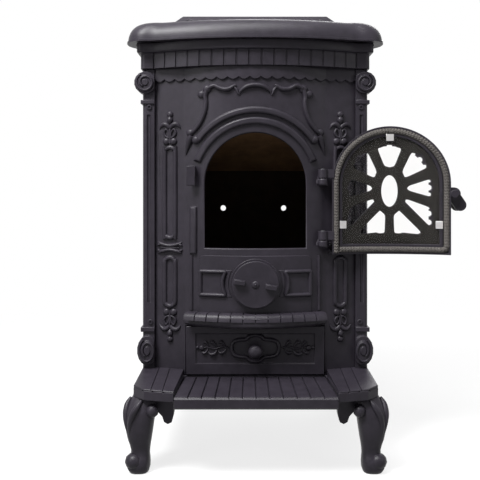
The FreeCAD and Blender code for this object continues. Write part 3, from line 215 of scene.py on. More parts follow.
BROAD_SCALE = 9.0             # uneven patches per metre, the same for every finish
cast_skin = bpy.data.node_groups.new("cast_skin", "ShaderNodeTree")
cast_skin.interface.new_socket("Vector", in_out="INPUT", socket_type="NodeSocketVector")
for label in ("Grain", "Pour"):
    cast_skin.interface.new_socket(label, in_out="INPUT", socket_type="NodeSocketFloat")
for label in ("Tone", "Height", "Sheen Change"):
    cast_skin.interface.new_socket(label, in_out="OUTPUT", socket_type="NodeSocketFloat")
given = new_node(cast_skin, "NodeGroupInput").outputs
fine = noise(cast_skin, given["Vector"], given["Grain"], 2.0)
soft = noise(cast_skin, given["Vector"], given["Pour"], 4.0, 0.6)
broad = noise(cast_skin, given["Vector"], BROAD_SCALE, 2.0)
new_node(cast_skin, "NodeGroupOutput", {
    "Tone": shared(cast_skin, soft, 0.6, broad),
    "Height": shared(cast_skin, fine, 0.45, soft),
    "Sheen Change": shared(cast_skin, fine, 0.35, broad)})
print("group", cast_skin.name, len(cast_skin.nodes), "nodes")


# %% Build a finish
NOISE_MIDDLE = (0.3, 0.7)     # most of a noise lies between these


def new_material(name):
    """Material with its tree and its main shader."""
    material = bpy.data.materials.new(name)
    material.use_nodes = True
    return material, material.node_tree, material.node_tree.nodes["Principled BSDF"]


def spread(tree, value, low, high):
    """Stretch the middle of a noise to a range of plain numbers."""
    return new_node(tree, "ShaderNodeMapRange", {
        "Value": value, "From Min": NOISE_MIDDLE[0], "From Max": NOISE_MIDDLE[1],
        "To Min": low, "To Max": high}).outputs["Result"]


def two_tones(tree, value, dark, light):
    """Colour between two tones."""
    return new_node(tree, "ShaderNodeMix", {"Factor": value, "A": (*dark, 1), "B": (*light, 1)},
                    data_type="RGBA").outputs["Result"]


def cast_finish(name, dark, light, rough, gloss, grain, pour, bump, metal=0.0):
    """Cast material: two tones, a roughness range, grain and pour per metre, and a bump in metres."""
    material, tree, shader = new_material(name)
    place = new_node(tree, "ShaderNodeTexCoord").outputs["Object"]
    skin = new_node(tree, "ShaderNodeGroup", {"Vector": place, "Grain": grain, "Pour": pour},
                    node_tree=cast_skin).outputs
    relief = new_node(tree, "ShaderNodeBump", {"Height": skin["Height"], "Strength": 1.0, "Distance": bump})
    fill_inputs(shader, {
        "Base Color": two_tones(tree, spread(tree, skin["Tone"], 0.0, 1.0), dark, light),
        "Roughness": spread(tree, skin["Sheen Change"], *rough),
        "Metallic": metal, "Specular IOR Level": gloss, "Normal": relief.outputs["Normal"]})
    return material


# %% Iron and steel finishes
finishes = {
    "cast_iron": cast_finish(
        "stove_paint", dark=(0.0115, 0.0099, 0.0134), light=(0.021, 0.0181, 0.0243),
        rough=(0.33, 0.45), gloss=0.14, grain=1100.0, pour=70.0, bump=0.0003),
    # Its brown is partly rust and partly painted firelight: the warm glow of a fire on the baffle is put into
    # its colour, since no fire is modelled.
    "fired_iron": cast_finish(
        "fired_iron", dark=(0.105, 0.056, 0.026), light=(0.235, 0.132, 0.062),
        rough=(0.72, 0.92), gloss=0.3, grain=700.0, pour=40.0, bump=0.0006),
    "sooty_iron": cast_finish(
        "sooty_iron", dark=(0.014, 0.010, 0.008), light=(0.042, 0.029, 0.020),
        rough=(0.80, 0.95), gloss=0.2, grain=700.0, pour=40.0, bump=0.0006),
    "sheet_steel": cast_finish(
        "sheet_steel", dark=(0.045, 0.045, 0.050), light=(0.070, 0.070, 0.075),
        rough=(0.38, 0.50), gloss=0.5, grain=500.0, pour=30.0, bump=0.0001, metal=0.6),
    "bright_steel": cast_finish(
        "bright_steel", dark=(0.40, 0.39, 0.39), light=(0.56, 0.55, 0.55),
        rough=(0.26, 0.40), gloss=0.5, grain=800.0, pour=90.0, bump=0.00008, metal=1.0),
}
print("finishes", sorted(finishes))

# %% [markdown]
# ## Glass and sealing rope
# The pane is clear heat-proof glass, a touch grey from smoke. The rope is knitted from glass yarn:
# its stitches are modelled later, so this finish only needs the dusty grey of the yarn and its
# fine fibres.

# %% Glass and rope finishes
finishes["glass"], tree, shader = new_material("clear_pane")
place = new_node(tree, "ShaderNodeTexCoord").outputs["Object"]
smoke = noise(tree, place, scale=14.0, detail=3.0)
fill_inputs(shader, {
    "Base Color": two_tones(tree, smoke, (0.92, 0.91, 0.885), (0.985, 0.98, 0.97)),
    "Transmission Weight": 1.0, "IOR": 1.2, "Roughness": 0.0, "Alpha": 0.4})
finishes["sealing_rope"] = cast_finish(
    "knit_yarn", dark=(0.018, 0.016, 0.015), light=(0.105, 0.096, 0.089),
    rough=(0.75, 0.95), gloss=0.3, grain=2400.0, pour=420.0, bump=0.0003)
print("finishes", sorted(finishes))

# %% [markdown]
# ## Give every casting its finish
# The record names a finish for each part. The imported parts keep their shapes, so they only get
# the right material here; those whose edges need rounding are replaced further on. The hinge pins
# are blackened as the hinges are, and soot covers what lies round the fire.

# %% Dress the frame
slot_of = {row["node"]: row["material_slot"] for row in frame["record"]["subparts"]}
body_of = {}
for body, members in frame["record"]["behaviour"]["bodies"].items():
    for member in members:
        body_of[member] = body
by_the_fire = ("liner_left", "liner_right", "liner_rear", "fire_bed", "fire_grate")
shown_as = {"hinge_pins": "sheet_steel", **dict.fromkeys(by_the_fire, "sooty_iron")}
for name, casting in nodes.items():
    casting.data.materials.clear()
    casting.data.materials.append(finishes[shown_as.get(name, slot_of[name])])
print("dressed", len(nodes), "castings on", sorted(set(body_of.values())))

# %% [markdown]
# ## Rounding the castings
# Sand-cast edges are never sharp. A copy of each casting is merged, its flat faces are joined, and
# its sharp edges are bevelled: wide where the real one is a rounded bead, narrow elsewhere. The
# copy then stands for the casting in the picture, while the casting itself still does the colliding.


# %% Round a casting's edges
SHARP, FLAT = math.radians(28), math.radians(0.6)     # creases worth rounding, bends that count as flat
MERGE = 2e-5                                          # metres within which corners are one
BEAD_STEPS, EDGE_STEPS = 4, 2
SHORT = 1.5                                           # widths of the bevel that an edge has to exceed


def mark_curved(work):
    """Smooth shading only for faces that are part of a curved skin, so flat faces stay flat."""
    for face in work.faces:
        face.smooth = any(FLAT < edge.calc_face_angle(0.0) < SHARP for edge in face.edges)


def bevel_edges(work, edges, width, segments):
    """Round some edges by a width in mm; the new faces shade smoothly among themselves only."""
    made = bmesh.ops.bevel(work, geom=edges, offset=width * MM, offset_type="OFFSET",
                           segments=segments, profile=0.5, affect="EDGES", clamp_overlap=False)["faces"]
    fresh = set(made)
    for face in made:
        face.smooth = True
        for edge in face.edges:
            edge.smooth = all(other in fresh for other in edge.link_faces)


def sharp_edges(work):
    """Edges where two faces meet at a clear angle."""
    return [edge for edge in work.edges if edge.calc_face_angle(0.0) > SHARP]


def rounded_mesh(name, width, beads):
    """Merged copy of a casting's mesh with bevelled edges; beads holds (picks edge, width) pairs."""
    work = bmesh.new()
    work.from_mesh(nodes[name].data)
    bmesh.ops.remove_doubles(work, verts=work.verts, dist=MERGE)
    bmesh.ops.dissolve_limit(work, angle_limit=FLAT, verts=work.verts, edges=work.edges)
    mark_curved(work)
    for picks, bead_width in beads:
        bevel_edges(work, [edge for edge in sharp_edges(work) if picks(edge)], bead_width, BEAD_STEPS)
    plain = [edge for edge in sharp_edges(work) if edge.calc_length() > SHORT * width * MM]
    bevel_edges(work, plain, width, EDGE_STEPS)
    mesh = bpy.data.meshes.new(name + "_cast")
    work.to_mesh(mesh)
    work.free()
    return mesh


# %% Make a piece
def new_piece(name, mesh, slot, body, stands_for=()):
    """Piece with its finish, tied to the body it moves with; the castings it stands for are hidden."""
    piece = placed(name, mesh)
    if not mesh.materials:
        mesh.materials.append(finishes[slot])
    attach(piece, body)
    if stands_for:
        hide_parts(*stands_for)
    return piece


def rounded(name, width, beads=()):
    """Replace a casting by its rounded copy."""
    new_piece(name + "_cast", rounded_mesh(name, width, beads), slot_of[name], body_of[name], [name])


# %% Round the plain castings
EDGE, FINE_EDGE = 1.0, 0.35
plain_castings = [
    "base_plate", "drawer_front", "corner_post_left", "corner_post_right",
    "side_panel_left", "side_panel_right", "back_panel", "flue_spigot", "air_wheel", "latch_keeper",
    "handle_grip", "top_lid", "drawer_knob",
]
for name in plain_castings:
    rounded(name, EDGE)
for name in ("door_frame", "glass_clips"):
    rounded(name, FINE_EDGE)
print("rounded", len(plain_castings) + 2)

# %% [markdown]
# ## Carving tools
# Raised scrolls and leaves could be sculpted, or swept as curves. Here each one is a stroke: a
# smooth line through a few points, with a width at each point, whose section is a half round
# standing on the casting. A small function lays flat coordinates on the bowed bay, on the slanted
# strips or on the drawer, so the same stroke works on any of them, and its foot sinks a little
# into the iron so that no gap can show.

# %% Surfaces that carry the carving (mm)
BOW_R = 290.0                 # bay's outer face
BAY_HALF = 122.0
BAY_Y = -107.0                # bay's corners
BOW_Y = BAY_Y + math.sqrt(BOW_R ** 2 - BAY_HALF ** 2)
STRIP_OUT = (175.5, -94.0)    # strip's outer edge
DRAWER_FACE = -110.0
strip_run = Vector((STRIP_OUT[0] - BAY_HALF, STRIP_OUT[1] - BAY_Y)).normalized()
strip_mid = Vector(((STRIP_OUT[0] + BAY_HALF) / 2, (STRIP_OUT[1] + BAY_Y) / 2))


def on_bay(x, z, lift):
    """Point on the bowed bay, lifted off it."""
    turn = math.asin(x / BOW_R)
    reach = BOW_R + lift
    return Vector((reach * math.sin(turn), BOW_Y - reach * math.cos(turn), z))


def on_strip(side):
    """Lays coordinates on one slanted strip, x measured outwards from its middle line."""
    def lay(x, z, lift):
        across = strip_mid + strip_run * x + Vector((strip_run.y, -strip_run.x)) * lift
        return Vector((side * across.x, across.y, z))
    return lay


def on_front(face_y):
    """Lays coordinates on a flat face that looks forwards."""
    def lay(x, z, lift):
        return Vector((x, face_y - lift, z))
    return lay


print("bay axis", round(BOW_Y, 2), "strip turn", round(math.degrees(math.asin(strip_run.y)), 1))


# %% Lines and skins
def smooth_line(points, closed, steps):
    """Catmull-Rom line through points of any number of values."""
    count = len(points)
    line = []
    for index in range(count if closed else count - 1):
        near = []
        for shift in (-1, 0, 1, 2):
            spot = index + shift
            near.append(points[spot % count] if closed else points[min(max(spot, 0), count - 1)])
        for step in range(steps):
            t = step / steps
            line.append([0.5 * (2 * b + (c - a) * t + (2 * a - 5 * b + 4 * c - d) * t * t
                                + (3 * b - a - 3 * c + d) * t ** 3) for a, b, c, d in zip(*near)])
    if not closed:
        line.append(list(points[-1]))
    return line


def directions(count):
    """Cosine and sine of even steps round a circle."""
    turns = [2 * math.pi * k / count for k in range(count)]
    return [(math.cos(turn), math.sin(turn)) for turn in turns]


def arc_points(x, z, radius, start, end, count):
    """Points along an arc, angles in degrees."""
    turns = [math.radians(start + (end - start) * k / count) for k in range(count + 1)]
    return [(x + radius * math.cos(turn), z + radius * math.sin(turn)) for turn in turns]


def loft(work, rings, closed=False, ends=True):
    """Skin through rings of places in mm; an open one gets its ends unless they stay off."""
    made = [[work.verts.new(Vector(spot) * MM) for spot in ring] for ring in rings]
    count = len(made[0])
    for ring, after in zip(made, made[1:] + made[:1] if closed else made[1:]):
        for k in range(count):
            work.faces.new((ring[k], ring[(k + 1) % count], after[(k + 1) % count], after[k]))
    if ends and not closed:
        work.faces.new(made[0])
        work.faces.new(made[-1])
    return made


# %% Strokes and domes
SINK = 1.2                    # mm that a carving's foot goes into the iron
STROKE_SIDES, THINNEST = 8, 0.4
DOME_STEPS, DOME_SIDES = 5, 14


def stroke(work, lay, points, rise=0.7, closed=False, steps=6):
    """Half-round bead along a line of (x, z, width); rise is its height for a width of 1."""
    line = smooth_line(points, closed, steps)
    rings = []
    for index, (x, z, width) in enumerate(line):
        before = line[index - 1] if index or closed else line[index]
        after = line[(index + 1) % len(line)] if closed or index + 1 < len(line) else line[index]
        run = Vector((after[0] - before[0], after[1] - before[1])).normalized()
        width = max(width, THINNEST)
        side = Vector((-run.y, run.x)) * width / 2
        turns = [math.pi * k / STROKE_SIDES for k in range(STROKE_SIDES + 1)]
        section = [(-math.cos(turn), math.sin(turn) * width * rise) for turn in turns]
        section = [(-1, -SINK), *section, (1, -SINK)]
        rings.append([lay(x + out * side.x, z + out * side.y, lift) for out, lift in section])
    loft(work, rings, closed)


def dome(work, lay, x, z, radius, rise=0.7):
    """Round boss, like the eye of a scroll."""
    turns = [math.pi / 2 * k / DOME_STEPS for k in range(DOME_STEPS)]
    levels = [(-SINK, radius)] + [(math.sin(turn) * radius * rise, radius * math.cos(turn)) for turn in turns]
    loft(work, [[lay(x + reach * across, z + reach * up, lift) for across, up in directions(DOME_SIDES)]
                for lift, reach in levels])


def set_out(points, side=1, start=0.0, up=1):
    """Stroke points moved to a starting height, turned over sideways by side or upright by up."""
    return [(side * x, start + up * z, width) for x, z, width in points]


def arched(half, middle):
    """Symmetrical stroke from the points of its right half, outer end first, and its middle point."""
    return set_out(half, -1) + [middle] + half[::-1]


# %% Turn collected faces into a piece
def mesh_of(name, work, crease):
    """Mesh that faces outwards and shades smoothly, but for creases past an angle in degrees."""
    bmesh.ops.recalc_face_normals(work, faces=work.faces)
    mesh = bpy.data.meshes.new(name)
    work.to_mesh(mesh)
    work.free()
    mesh.polygons.foreach_set("use_smooth", [True] * len(mesh.polygons))
    mesh.set_sharp_from_angle(angle=math.radians(crease))
    return mesh


def carved_piece(name, work, crease=60, slot="cast_iron", body="stove", stands_for=()):
    """One finished piece from collected strokes or skins."""
    mesh = mesh_of(name, work, crease)
    print(name, len(mesh.polygons), "faces")
    return new_piece(name, mesh, slot, body, stands_for)


# %% [markdown]
# ## The cartouche over the door
# The bay carries a framed panel over the arch: a shaped top rail with two curls and a low crest,
# side rails that sweep down to the hood, and round eyes where the rails meet. The hood's ends get
# eyes and short tapering tails. Strokes are rows of x, z and width, and only the right half is
# written down.

# %% Carve the cartouche
BEAD_W = 8.6
crest = arched([(27.0, 622.0, 3.0), (24.5, 627.5, 5.5), (14.0, 634.5, BEAD_W)], (0.0, 637.0, BEAD_W))
rails = (
    [(80.0, 633.0, BEAD_W), (70.0, 637.0, BEAD_W), (58.5, 631.5, BEAD_W), (46.0, 630.5, BEAD_W),
     (37.0, 635.5, 6.0), (32.5, 637.0, 4.0)],
    [(36.0, 634.0, 4.0), (31.5, 629.0, 5.0), (29.0, 622.5, 4.5), (27.0, 620.0, 2.5)],
    [(83.0, 630.0, BEAD_W), (85.5, 619.0, 8.2), (84.5, 608.0, 8.0), (87.0, 592.0, 8.0),
     (95.0, 573.5, 8.0), (106.0, 560.0, 7.4), (112.0, 557.0, 6.5)],
    [(108.5, 551.5, 11.5), (112.5, 545.5, 11.0), (115.8, 536.0, 8.6), (118.6, 527.0, 5.2),
     (120.6, 518.0, 1.4)],
)
eyes = ((82.5, 632.0, 7.6, 0.7), (92.5, 623.0, 7.0, 0.7), (112.5, 557.5, 6.8, 0.7),
        (101.5, 545.0, 8.0, 0.95))      # x, z, radius, rise
work = bmesh.new()
stroke(work, on_bay, crest)
for side in (-1, 1):
    for points in rails:
        stroke(work, on_bay, set_out(points, side))
    for x, z, radius, rise in eyes:
        dome(work, on_bay, side * x, z, radius, rise)
carved_piece("front_cartouche", work)

# %% [markdown]
# ## The strips' fleurons and clasps
# Each slanted strip has two long drop loops. A fleuron closes their outer ends: two eyes, a pair
# of drops, spreading leaves and a small finial. Two crescents clasp the loops where they meet. One
# function carves a fleuron upwards or downwards, and a mirror gives the other strip.

# %% Fleuron
EYE_X, EYE_UP, EYE_R = 6.6, 6.5, 6.8
FINIAL_UP, FINIAL_R = 53.5, 6.2
DROP = [(2.0, 13.5, 4.2), (8.2, 16.0, 4.6), (10.6, 22.0, 4.6), (7.0, 28.0, 4.2), (2.4, 22.0, 3.8)]
LEAF = [(1.0, 30.0, 7.0), (5.5, 35.0, 9.0), (11.0, 36.5, 8.5), (16.0, 33.5, 6.0), (19.5, 28.0, 1.5)]
STALK = [(0, 3.0, 6.0), (0, 12.0, 5.0), (0, 26.0, 5.5), (0, 37.0, 3.0)]
BUD = [(0, 36.0, 3.5), (0, 40.5, 9.5), (0, 45.0, 11.0), (0, 50.0, 6.5)]


def fleuron(work, lay, start, up):
    """Ornament beyond a loop's end; up is 1 or -1."""
    for side in (-1, 1):
        dome(work, lay, side * EYE_X, start + up * EYE_UP, EYE_R, rise=0.75)
        stroke(work, lay, set_out(DROP, side, start, up), rise=0.8, closed=True)
        stroke(work, lay, set_out(LEAF, side, start, up), rise=0.55)
    stroke(work, lay, set_out(STALK, 1, start, up), rise=0.6)
    stroke(work, lay, set_out(BUD, 1, start, up), rise=0.55)
    dome(work, lay, 0, start + up * FINIAL_UP, FINIAL_R, rise=0.85)


# %% Clasps and loops
LOOPS = ((371.0, 537.0), (252.0, 345.0))
LOOP_R, LOOP_W = 9.5, 8.2
LOOP_TOP, LOOP_FOOT = LOOPS[0][1], LOOPS[1][0]
CLASP_Z = (LOOPS[0][0] + LOOPS[1][1]) / 2
CRESCENT = arched([(21.5, 11.0, 1.5), (19.0, 8.0, 5.0), (12.0, 5.6, 7.0)], (0.0, 3.6, 7.5))
HORN = [(15.0, 6.5, 3.0), (20.0, 5.0, 5.0), (23.0, 2.8, 1.5)]
TIE = [(-17.0, 0.0, 2.5), (0.0, 0.0, 5.0), (17.0, 0.0, 2.5)]


def crescents(work, lay, middle):
    """Pair of crescents that clasp two loops, horned at their tips."""
    for up in (-1, 1):
        stroke(work, lay, set_out(CRESCENT, 1, middle, up), rise=0.75)
        for side in (-1, 1):
            stroke(work, lay, set_out(HORN, side, middle, up), rise=0.8)
    stroke(work, lay, set_out(TIE, 1, middle), rise=0.9)


def long_loop(work, lay, low, high):
    """Rounded slot-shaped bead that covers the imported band."""
    line = arc_points(0, high - LOOP_R - LOOP_W / 2, LOOP_R, 0, 180, 6)
    line += arc_points(0, low + LOOP_R + LOOP_W / 2, LOOP_R, 180, 360, 6)
    stroke(work, lay, [(x, z, LOOP_W) for x, z in line], rise=0.52, closed=True, steps=2)


# %% Carve the strips
work = bmesh.new()
for side in (-1, 1):
    lay = on_strip(side)
    fleuron(work, lay, LOOP_TOP, 1)
    fleuron(work, lay, LOOP_FOOT, -1)
    crescents(work, lay, CLASP_Z)
    for low, high in LOOPS:
        long_loop(work, lay, low, high)
carved_piece("strip_fleurons", work)

# %% [markdown]
# ## The drawer's ring and sprays
# A shaped ring frames the knob, and a leafy spray with berries runs out on each side of it.

# %% Carve the drawer
KNOB_Z, KNOB_RING_W = 184.5, 7.4
ring = [(41, 0), (37.5, 10.5), (27, 14.5), (16, 15.5), (10, 20.5), (0, 22.5)]
ring += [(-x, z) for x, z in reversed(ring[:-1])]
ring += [(x, -z) for x, z in reversed(ring[1:-1])]
spray = [
    [(46.0, 0.5, 3.0), (57.0, 2.5, 4.0), (70.0, -1.0, 4.0), (82.0, 1.5, 3.6), (92.0, 0.0, 3.0)],
    [(52.0, 2.0, 2.4), (55.0, 7.5, 4.6), (59.0, 10.5, 5.6), (63.0, 8.5, 2.5)],
    [(66.0, 0.5, 2.4), (70.0, 6.5, 4.6), (74.5, 10.5, 5.6), (79.0, 8.5, 2.5)],
    [(80.0, 1.5, 2.4), (82.5, 6.0, 4.2), (86.5, 10.5, 5.2), (90.0, 8.0, 2.4)],
    [(50.0, -1.0, 2.4), (54.0, -6.0, 5.2), (60.0, -8.0, 5.8), (65.0, -5.0, 2.2)],
    [(66.0, -2.0, 2.4), (69.5, -8.5, 6.2), (76.5, -10.5, 6.6), (82.0, -6.0, 2.2)],
    [(82.0, 0.0, 2.4), (84.0, -5.5, 4.4), (89.0, -8.5, 5.4), (93.5, -5.0, 2.2)],
]
berries = ((58.5, 11.0, 3.4), (74.0, 11.0, 3.4), (86.0, 10.5, 3.2), (57.0, -8.5, 3.8),
           (73.0, -10.5, 4.2), (89.5, -8.0, 3.4), (92.5, 0.5, 5.4), (100.0, 1.0, 3.6))   # x, z, radius
work = bmesh.new()
on_drawer = on_front(DRAWER_FACE)
stroke(work, on_drawer, [(x, KNOB_Z + z, KNOB_RING_W) for x, z in ring], rise=0.7, closed=True)
for side in (-1, 1):
    for points in spray:
        stroke(work, on_drawer, set_out(points, side, KNOB_Z), rise=0.75)
    for x, z, radius in berries:
        dome(work, on_drawer, side * x, KNOB_Z + z, radius, rise=0.9)
carved_piece("drawer_spray", work, body="ash_drawer")

# %% [markdown]
# ## The front panel's mouldings
# The arch, the hood and the sill are half-round mouldings on the real casting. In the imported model
# they are square bands, so their outer edges get a wide bevel that turns each band into a bead.


# %% Round the front panel
def middle(edge):
    """Middle of an edge in mm."""
    return (edge.verts[0].co + edge.verts[1].co) / (2 * MM)


def on_band(heights, lifts, reach=math.inf):
    """Test for edges between two heights and two lifts off the bay, within a reach of its middle."""
    def picks(edge):
        spot = middle(edge)
        lift = math.hypot(spot.x, spot.y - BOW_Y) - BOW_R
        return abs(spot.x) < reach and heights[0] < spot.z < heights[1] and lifts[0] < lift < lifts[1]
    return picks


arch_edges = on_band((346, math.inf), (3.5, math.inf), BAY_HALF - 1)
sill_top, sill_foot = on_band((240, 250), (6, math.inf)), on_band((220, 228), (6, math.inf))
mouth_edges = on_band((357, 558), (-0.8, 0.8), 88.5)      # fire opening, on the bay's outer face
PANEL_EDGE, ARCH_BEAD, SILL_SLOPE, SILL_ROUND, MOUTH_ROUND = 0.7, 3.6, 8.0, 3.5, 2.2
rounded("front_panel", PANEL_EDGE, [(arch_edges, ARCH_BEAD), (sill_top, SILL_SLOPE),
                                      (sill_foot, SILL_ROUND), (mouth_edges, MOUTH_ROUND)])
print("front panel rounded")

# %% [markdown]
# ## The air panel
# Round the air wheel the bay carries a slightly raised plate, and on each side of the wheel a
# half-round frame whose inner side bends with the wheel.

# %% Raised plate
PLATE_HALF, PLATE_LOW, PLATE_HIGH, PLATE_CORNER = 96.0, 248.0, 346.5, 7.0
PLATE_LIFT, PLATE_FOOT, PLATE_SOFT, PLATE_COLUMNS = 1.5, 0.2, 1.0, 24


def close_at_ends(half, columns):
    """Places from side to side that lie closer together towards both ends."""
    return [half * math.sin(math.pi / 2 * (2 * k / columns - 1)) for k in range(columns + 1)]


work = bmesh.new()
columns = []
for k, x in enumerate(close_at_ends(PLATE_HALF, PLATE_COLUMNS)):
    past = max(0.0, abs(x) - (PLATE_HALF - PLATE_CORNER))
    high = PLATE_HIGH - PLATE_CORNER + math.sqrt(PLATE_CORNER ** 2 - past ** 2)
    top = PLATE_FOOT if k in (0, PLATE_COLUMNS) else PLATE_LIFT
    section = ((PLATE_LOW, -SINK), (PLATE_LOW, PLATE_FOOT), (PLATE_LOW + PLATE_SOFT, top),
               (high - PLATE_SOFT, top), (high, PLATE_FOOT), (high, -SINK))
    columns.append([on_bay(x, z, lift) for z, lift in section])
loft(work, columns)
carved_piece("air_plate", work, crease=20)

# %% Frames beside the wheel
AIR_Z, AIR_FRAME_W = 299.0, 8.0
outline = [(94.0, 0.0), (94.0, 18.0), (92.0, 20.0), (75.0, 20.0), (54.0, 20.0), (51.5, 18.5), (54.5, 9.0),
           (55.5, 0.0)]
outline += [(x, -z) for x, z in reversed(outline[1:-1])]
work = bmesh.new()
for side in (-1, 1):
    line = [(side * x, AIR_Z + z, AIR_FRAME_W) for x, z in outline]
    stroke(work, on_bay, line, rise=0.75, closed=True, steps=3)
carved_piece("air_frames", work)

# %% [markdown]
# ## Frieze and cornice
# Under the top runs a bowed frieze of small panels between rounded corner blocks, with an ogee
# cornice above it. The ogee is a bevel on the cornice's lower edge and on the hollow under it.

# %% Round the frieze
CORNICE_FOOT = 697.0
FRIEZE_SIDE, FRIEZE_FRONT, FRIEZE_BACK = 195.0, -100.0, 185.0    # past these lie the sides, front and back
UPRIGHT = 8.0                                                    # rise of an edge that counts as upright
FRIEZE_EDGE, CORNER_ROUND, OGEE = 0.6, 7.0, 2.6


def cornice_ogee(edge):
    """Edges of the step between the frieze and the cornice."""
    spot = middle(edge)
    outside = spot.y < FRIEZE_FRONT or abs(spot.x) > FRIEZE_SIDE
    return abs(spot.z - CORNICE_FOOT) < 0.5 and spot.y < FRIEZE_BACK and outside


def frieze_corner(edge):
    """Upright edges of the two front corners."""
    spot = middle(edge)
    rise = abs(edge.verts[0].co.z - edge.verts[1].co.z) / MM
    return abs(spot.x) > FRIEZE_SIDE and spot.y < FRIEZE_FRONT and rise > UPRIGHT


rounded("frieze", FRIEZE_EDGE, [(frieze_corner, CORNER_ROUND), (cornice_ogee, OGEE)])
print("frieze rounded")

# %% [markdown]
# ## Top plate
# The stove's top overhangs the frieze with a broad quarter-round edge and a thin lip under it. A
# Bevel modifier can't be as wide as this edge, so the plate is swept: its outline is drawn once in
# plan, and each step of the profile is that outline drawn in towards its middle at another height.
# The hole for the lid stays open, and the plate is hollow underneath as the casting is.

# %% Outline in plan (mm)
TOP_SIDE, TOP_BACK, TOP_CORNER, TOP_SHOULDER = 223.5, 213.5, 33.0, -132.0
TOP_FRONT, TOP_BOW_R = -158.0, 611.4
BOW_END, BOW_STEPS = 171.0, 16      # half width of the bowed front
BACK_X = (180.0, 120.0, 60.0, 0.0)
NOTCH = [(175.0, -132.8), (180.0, TOP_SHOULDER), (186.0, TOP_SHOULDER)]
LOBE = [(0.0, -92.0), (1.0, -84.0), (4.5, -75.0), (9.0, -69.0), (11.5, -62.0), (12.0, -50.0), (12.0, 0.0)]


def top_outline():
    """Half outline from the middle of the front to the middle of the back, then mirrored."""
    half = []
    for k in range(BOW_STEPS + 1):
        x = BOW_END * k / BOW_STEPS
        half.append((x, TOP_FRONT + TOP_BOW_R - math.sqrt(TOP_BOW_R ** 2 - x * x)))
    half += NOTCH
    half += arc_points(TOP_SIDE - TOP_CORNER, TOP_SHOULDER + TOP_CORNER, TOP_CORNER, -90, 0, 9)
    half += [(TOP_SIDE - inset, y) for inset, y in LOBE]
    half += [(TOP_SIDE - inset, TOP_BACK + TOP_SHOULDER - y) for inset, y in reversed(LOBE)]
    half += arc_points(TOP_SIDE - TOP_CORNER, TOP_BACK - TOP_CORNER, TOP_CORNER, 0, 90, 9)
    half += [(x, TOP_BACK) for x in BACK_X]
    return half + [(-x, y) for x, y in reversed(half[1:-1])]


plan = top_outline()
print("outline", len(plan), "points")

# %% Profile of the edge (mm)
TOP_LOW, TOP_HIGH = 713.0, 742.0
RIM_RISE = 7.0                      # the edge's crown stands above the flat round the lid
RIM_HIGH = TOP_HIGH + RIM_RISE
PAST_CROWN = ((5.0, 0.6), (10.0, 4.0), (13.0, RIM_RISE))      # further in, down from the crown
LIP_H, LIP_IN, LIP_RISE = 3.0, 1.6, 0.6
OVOLO_IN, OVOLO_STEPS = 28.0, 10
WALL, SHEET = 14.0, 9.0             # thickness of the edge and of the flat
ovolo_foot = TOP_LOW + LIP_H + LIP_RISE
profile = [(0.0, TOP_LOW), (0.0, TOP_LOW + LIP_H), (LIP_IN, ovolo_foot)]      # inset, height
for k in range(1, OVOLO_STEPS + 1):
    turn = math.pi / 2 * k / OVOLO_STEPS
    profile.append((LIP_IN + (OVOLO_IN - LIP_IN) * (1 - math.cos(turn)),
                    ovolo_foot + (RIM_HIGH - ovolo_foot) * math.sin(turn)))
profile += [(OVOLO_IN + further, RIM_HIGH - down) for further, down in PAST_CROWN]
under = [(WALL, TOP_HIGH - SHEET), (WALL, TOP_LOW)]
print("profile", len(profile), "steps")

# %% Sweep the top plate
HOB_HALF, HOB_FRONT, HOB_REAR = 122.0, -58.0, 112.0
hob = ((-HOB_HALF, HOB_FRONT), (HOB_HALF, HOB_FRONT), (HOB_HALF, HOB_REAR), (-HOB_HALF, HOB_REAR))


def plan_ring(inset, height):
    """The plan drawn in evenly towards its middle, which can't fold over at a corner."""
    middle_y, half_depth = (TOP_BACK + TOP_FRONT) / 2, (TOP_BACK - TOP_FRONT) / 2
    narrow, shallow = 1 - inset / TOP_SIDE, 1 - inset / half_depth
    return [(x * narrow, middle_y + (y - middle_y) * shallow, height) for x, y in plan]


def sheet_with_hole(work, outer, hole):
    """Flat sheet between the outline and the lid's hole."""
    edges = []
    for ring in (outer, hole):
        for pair in zip(ring, ring[1:] + ring[:1]):
            edges.append(work.edges.get(pair) or work.edges.new(pair))
    bmesh.ops.triangle_fill(work, use_beauty=True, use_dissolve=False, edges=edges)


work = bmesh.new()
rings = loft(work, [plan_ring(inset, height) for inset, height in under + profile], ends=False)
hole = loft(work, [[(x, y, z) for x, y in hob] for z in (TOP_HIGH - SHEET, TOP_HIGH)], ends=False)
for level in (0, -1):
    sheet_with_hole(work, rings[level], hole[level])
carved_piece("mantel_top", work, crease=24, stands_for=["top_plate"])

# %% [markdown]
# ## Cabriole legs
# Each leg swells at the knee, narrows at the ankle and ends in a scroll foot that turns outwards.
# Rings of points follow that line from the top down to the floor, their centres moving out along
# the stove's diagonal, and a smooth subdivision makes the skin even. Knee scrolls, a leaf ridge and
# bracket ears are added as separate closed shapes that grow out of it.

# %% Leg shaft (mm)
LEG_X, LEG_Y, LEG_TOP = 180.0, 172.0, 122.0
LEG_RINGS = [   # height, shift outwards along the diagonal, half size along it, half size across it
    (122.0, 3.0, 19.0, 22.0), (112.0, 7.0, 22.0, 23.5), (100.0, 10.5, 24.5, 24.0), (86.0, 12.0, 25.0, 23.5),
    (70.0, 13.0, 23.5, 22.0), (55.0, 12.5, 20.8, 19.2), (44.0, 11.5, 17.8, 16.8), (36.0, 11.0, 16.2, 15.8),
    (29.0, 11.5, 16.0, 16.0), (23.0, 13.5, 18.5, 17.5), (15.0, 15.0, 20.5, 18.5), (7.0, 14.5, 19.5, 18.0),
    (2.0, 13.5, 17.0, 16.0), (0.0, 13.0, 15.0, 14.0),
]
LEG_SIDES, LEG_SQUARE = 16, 0.06


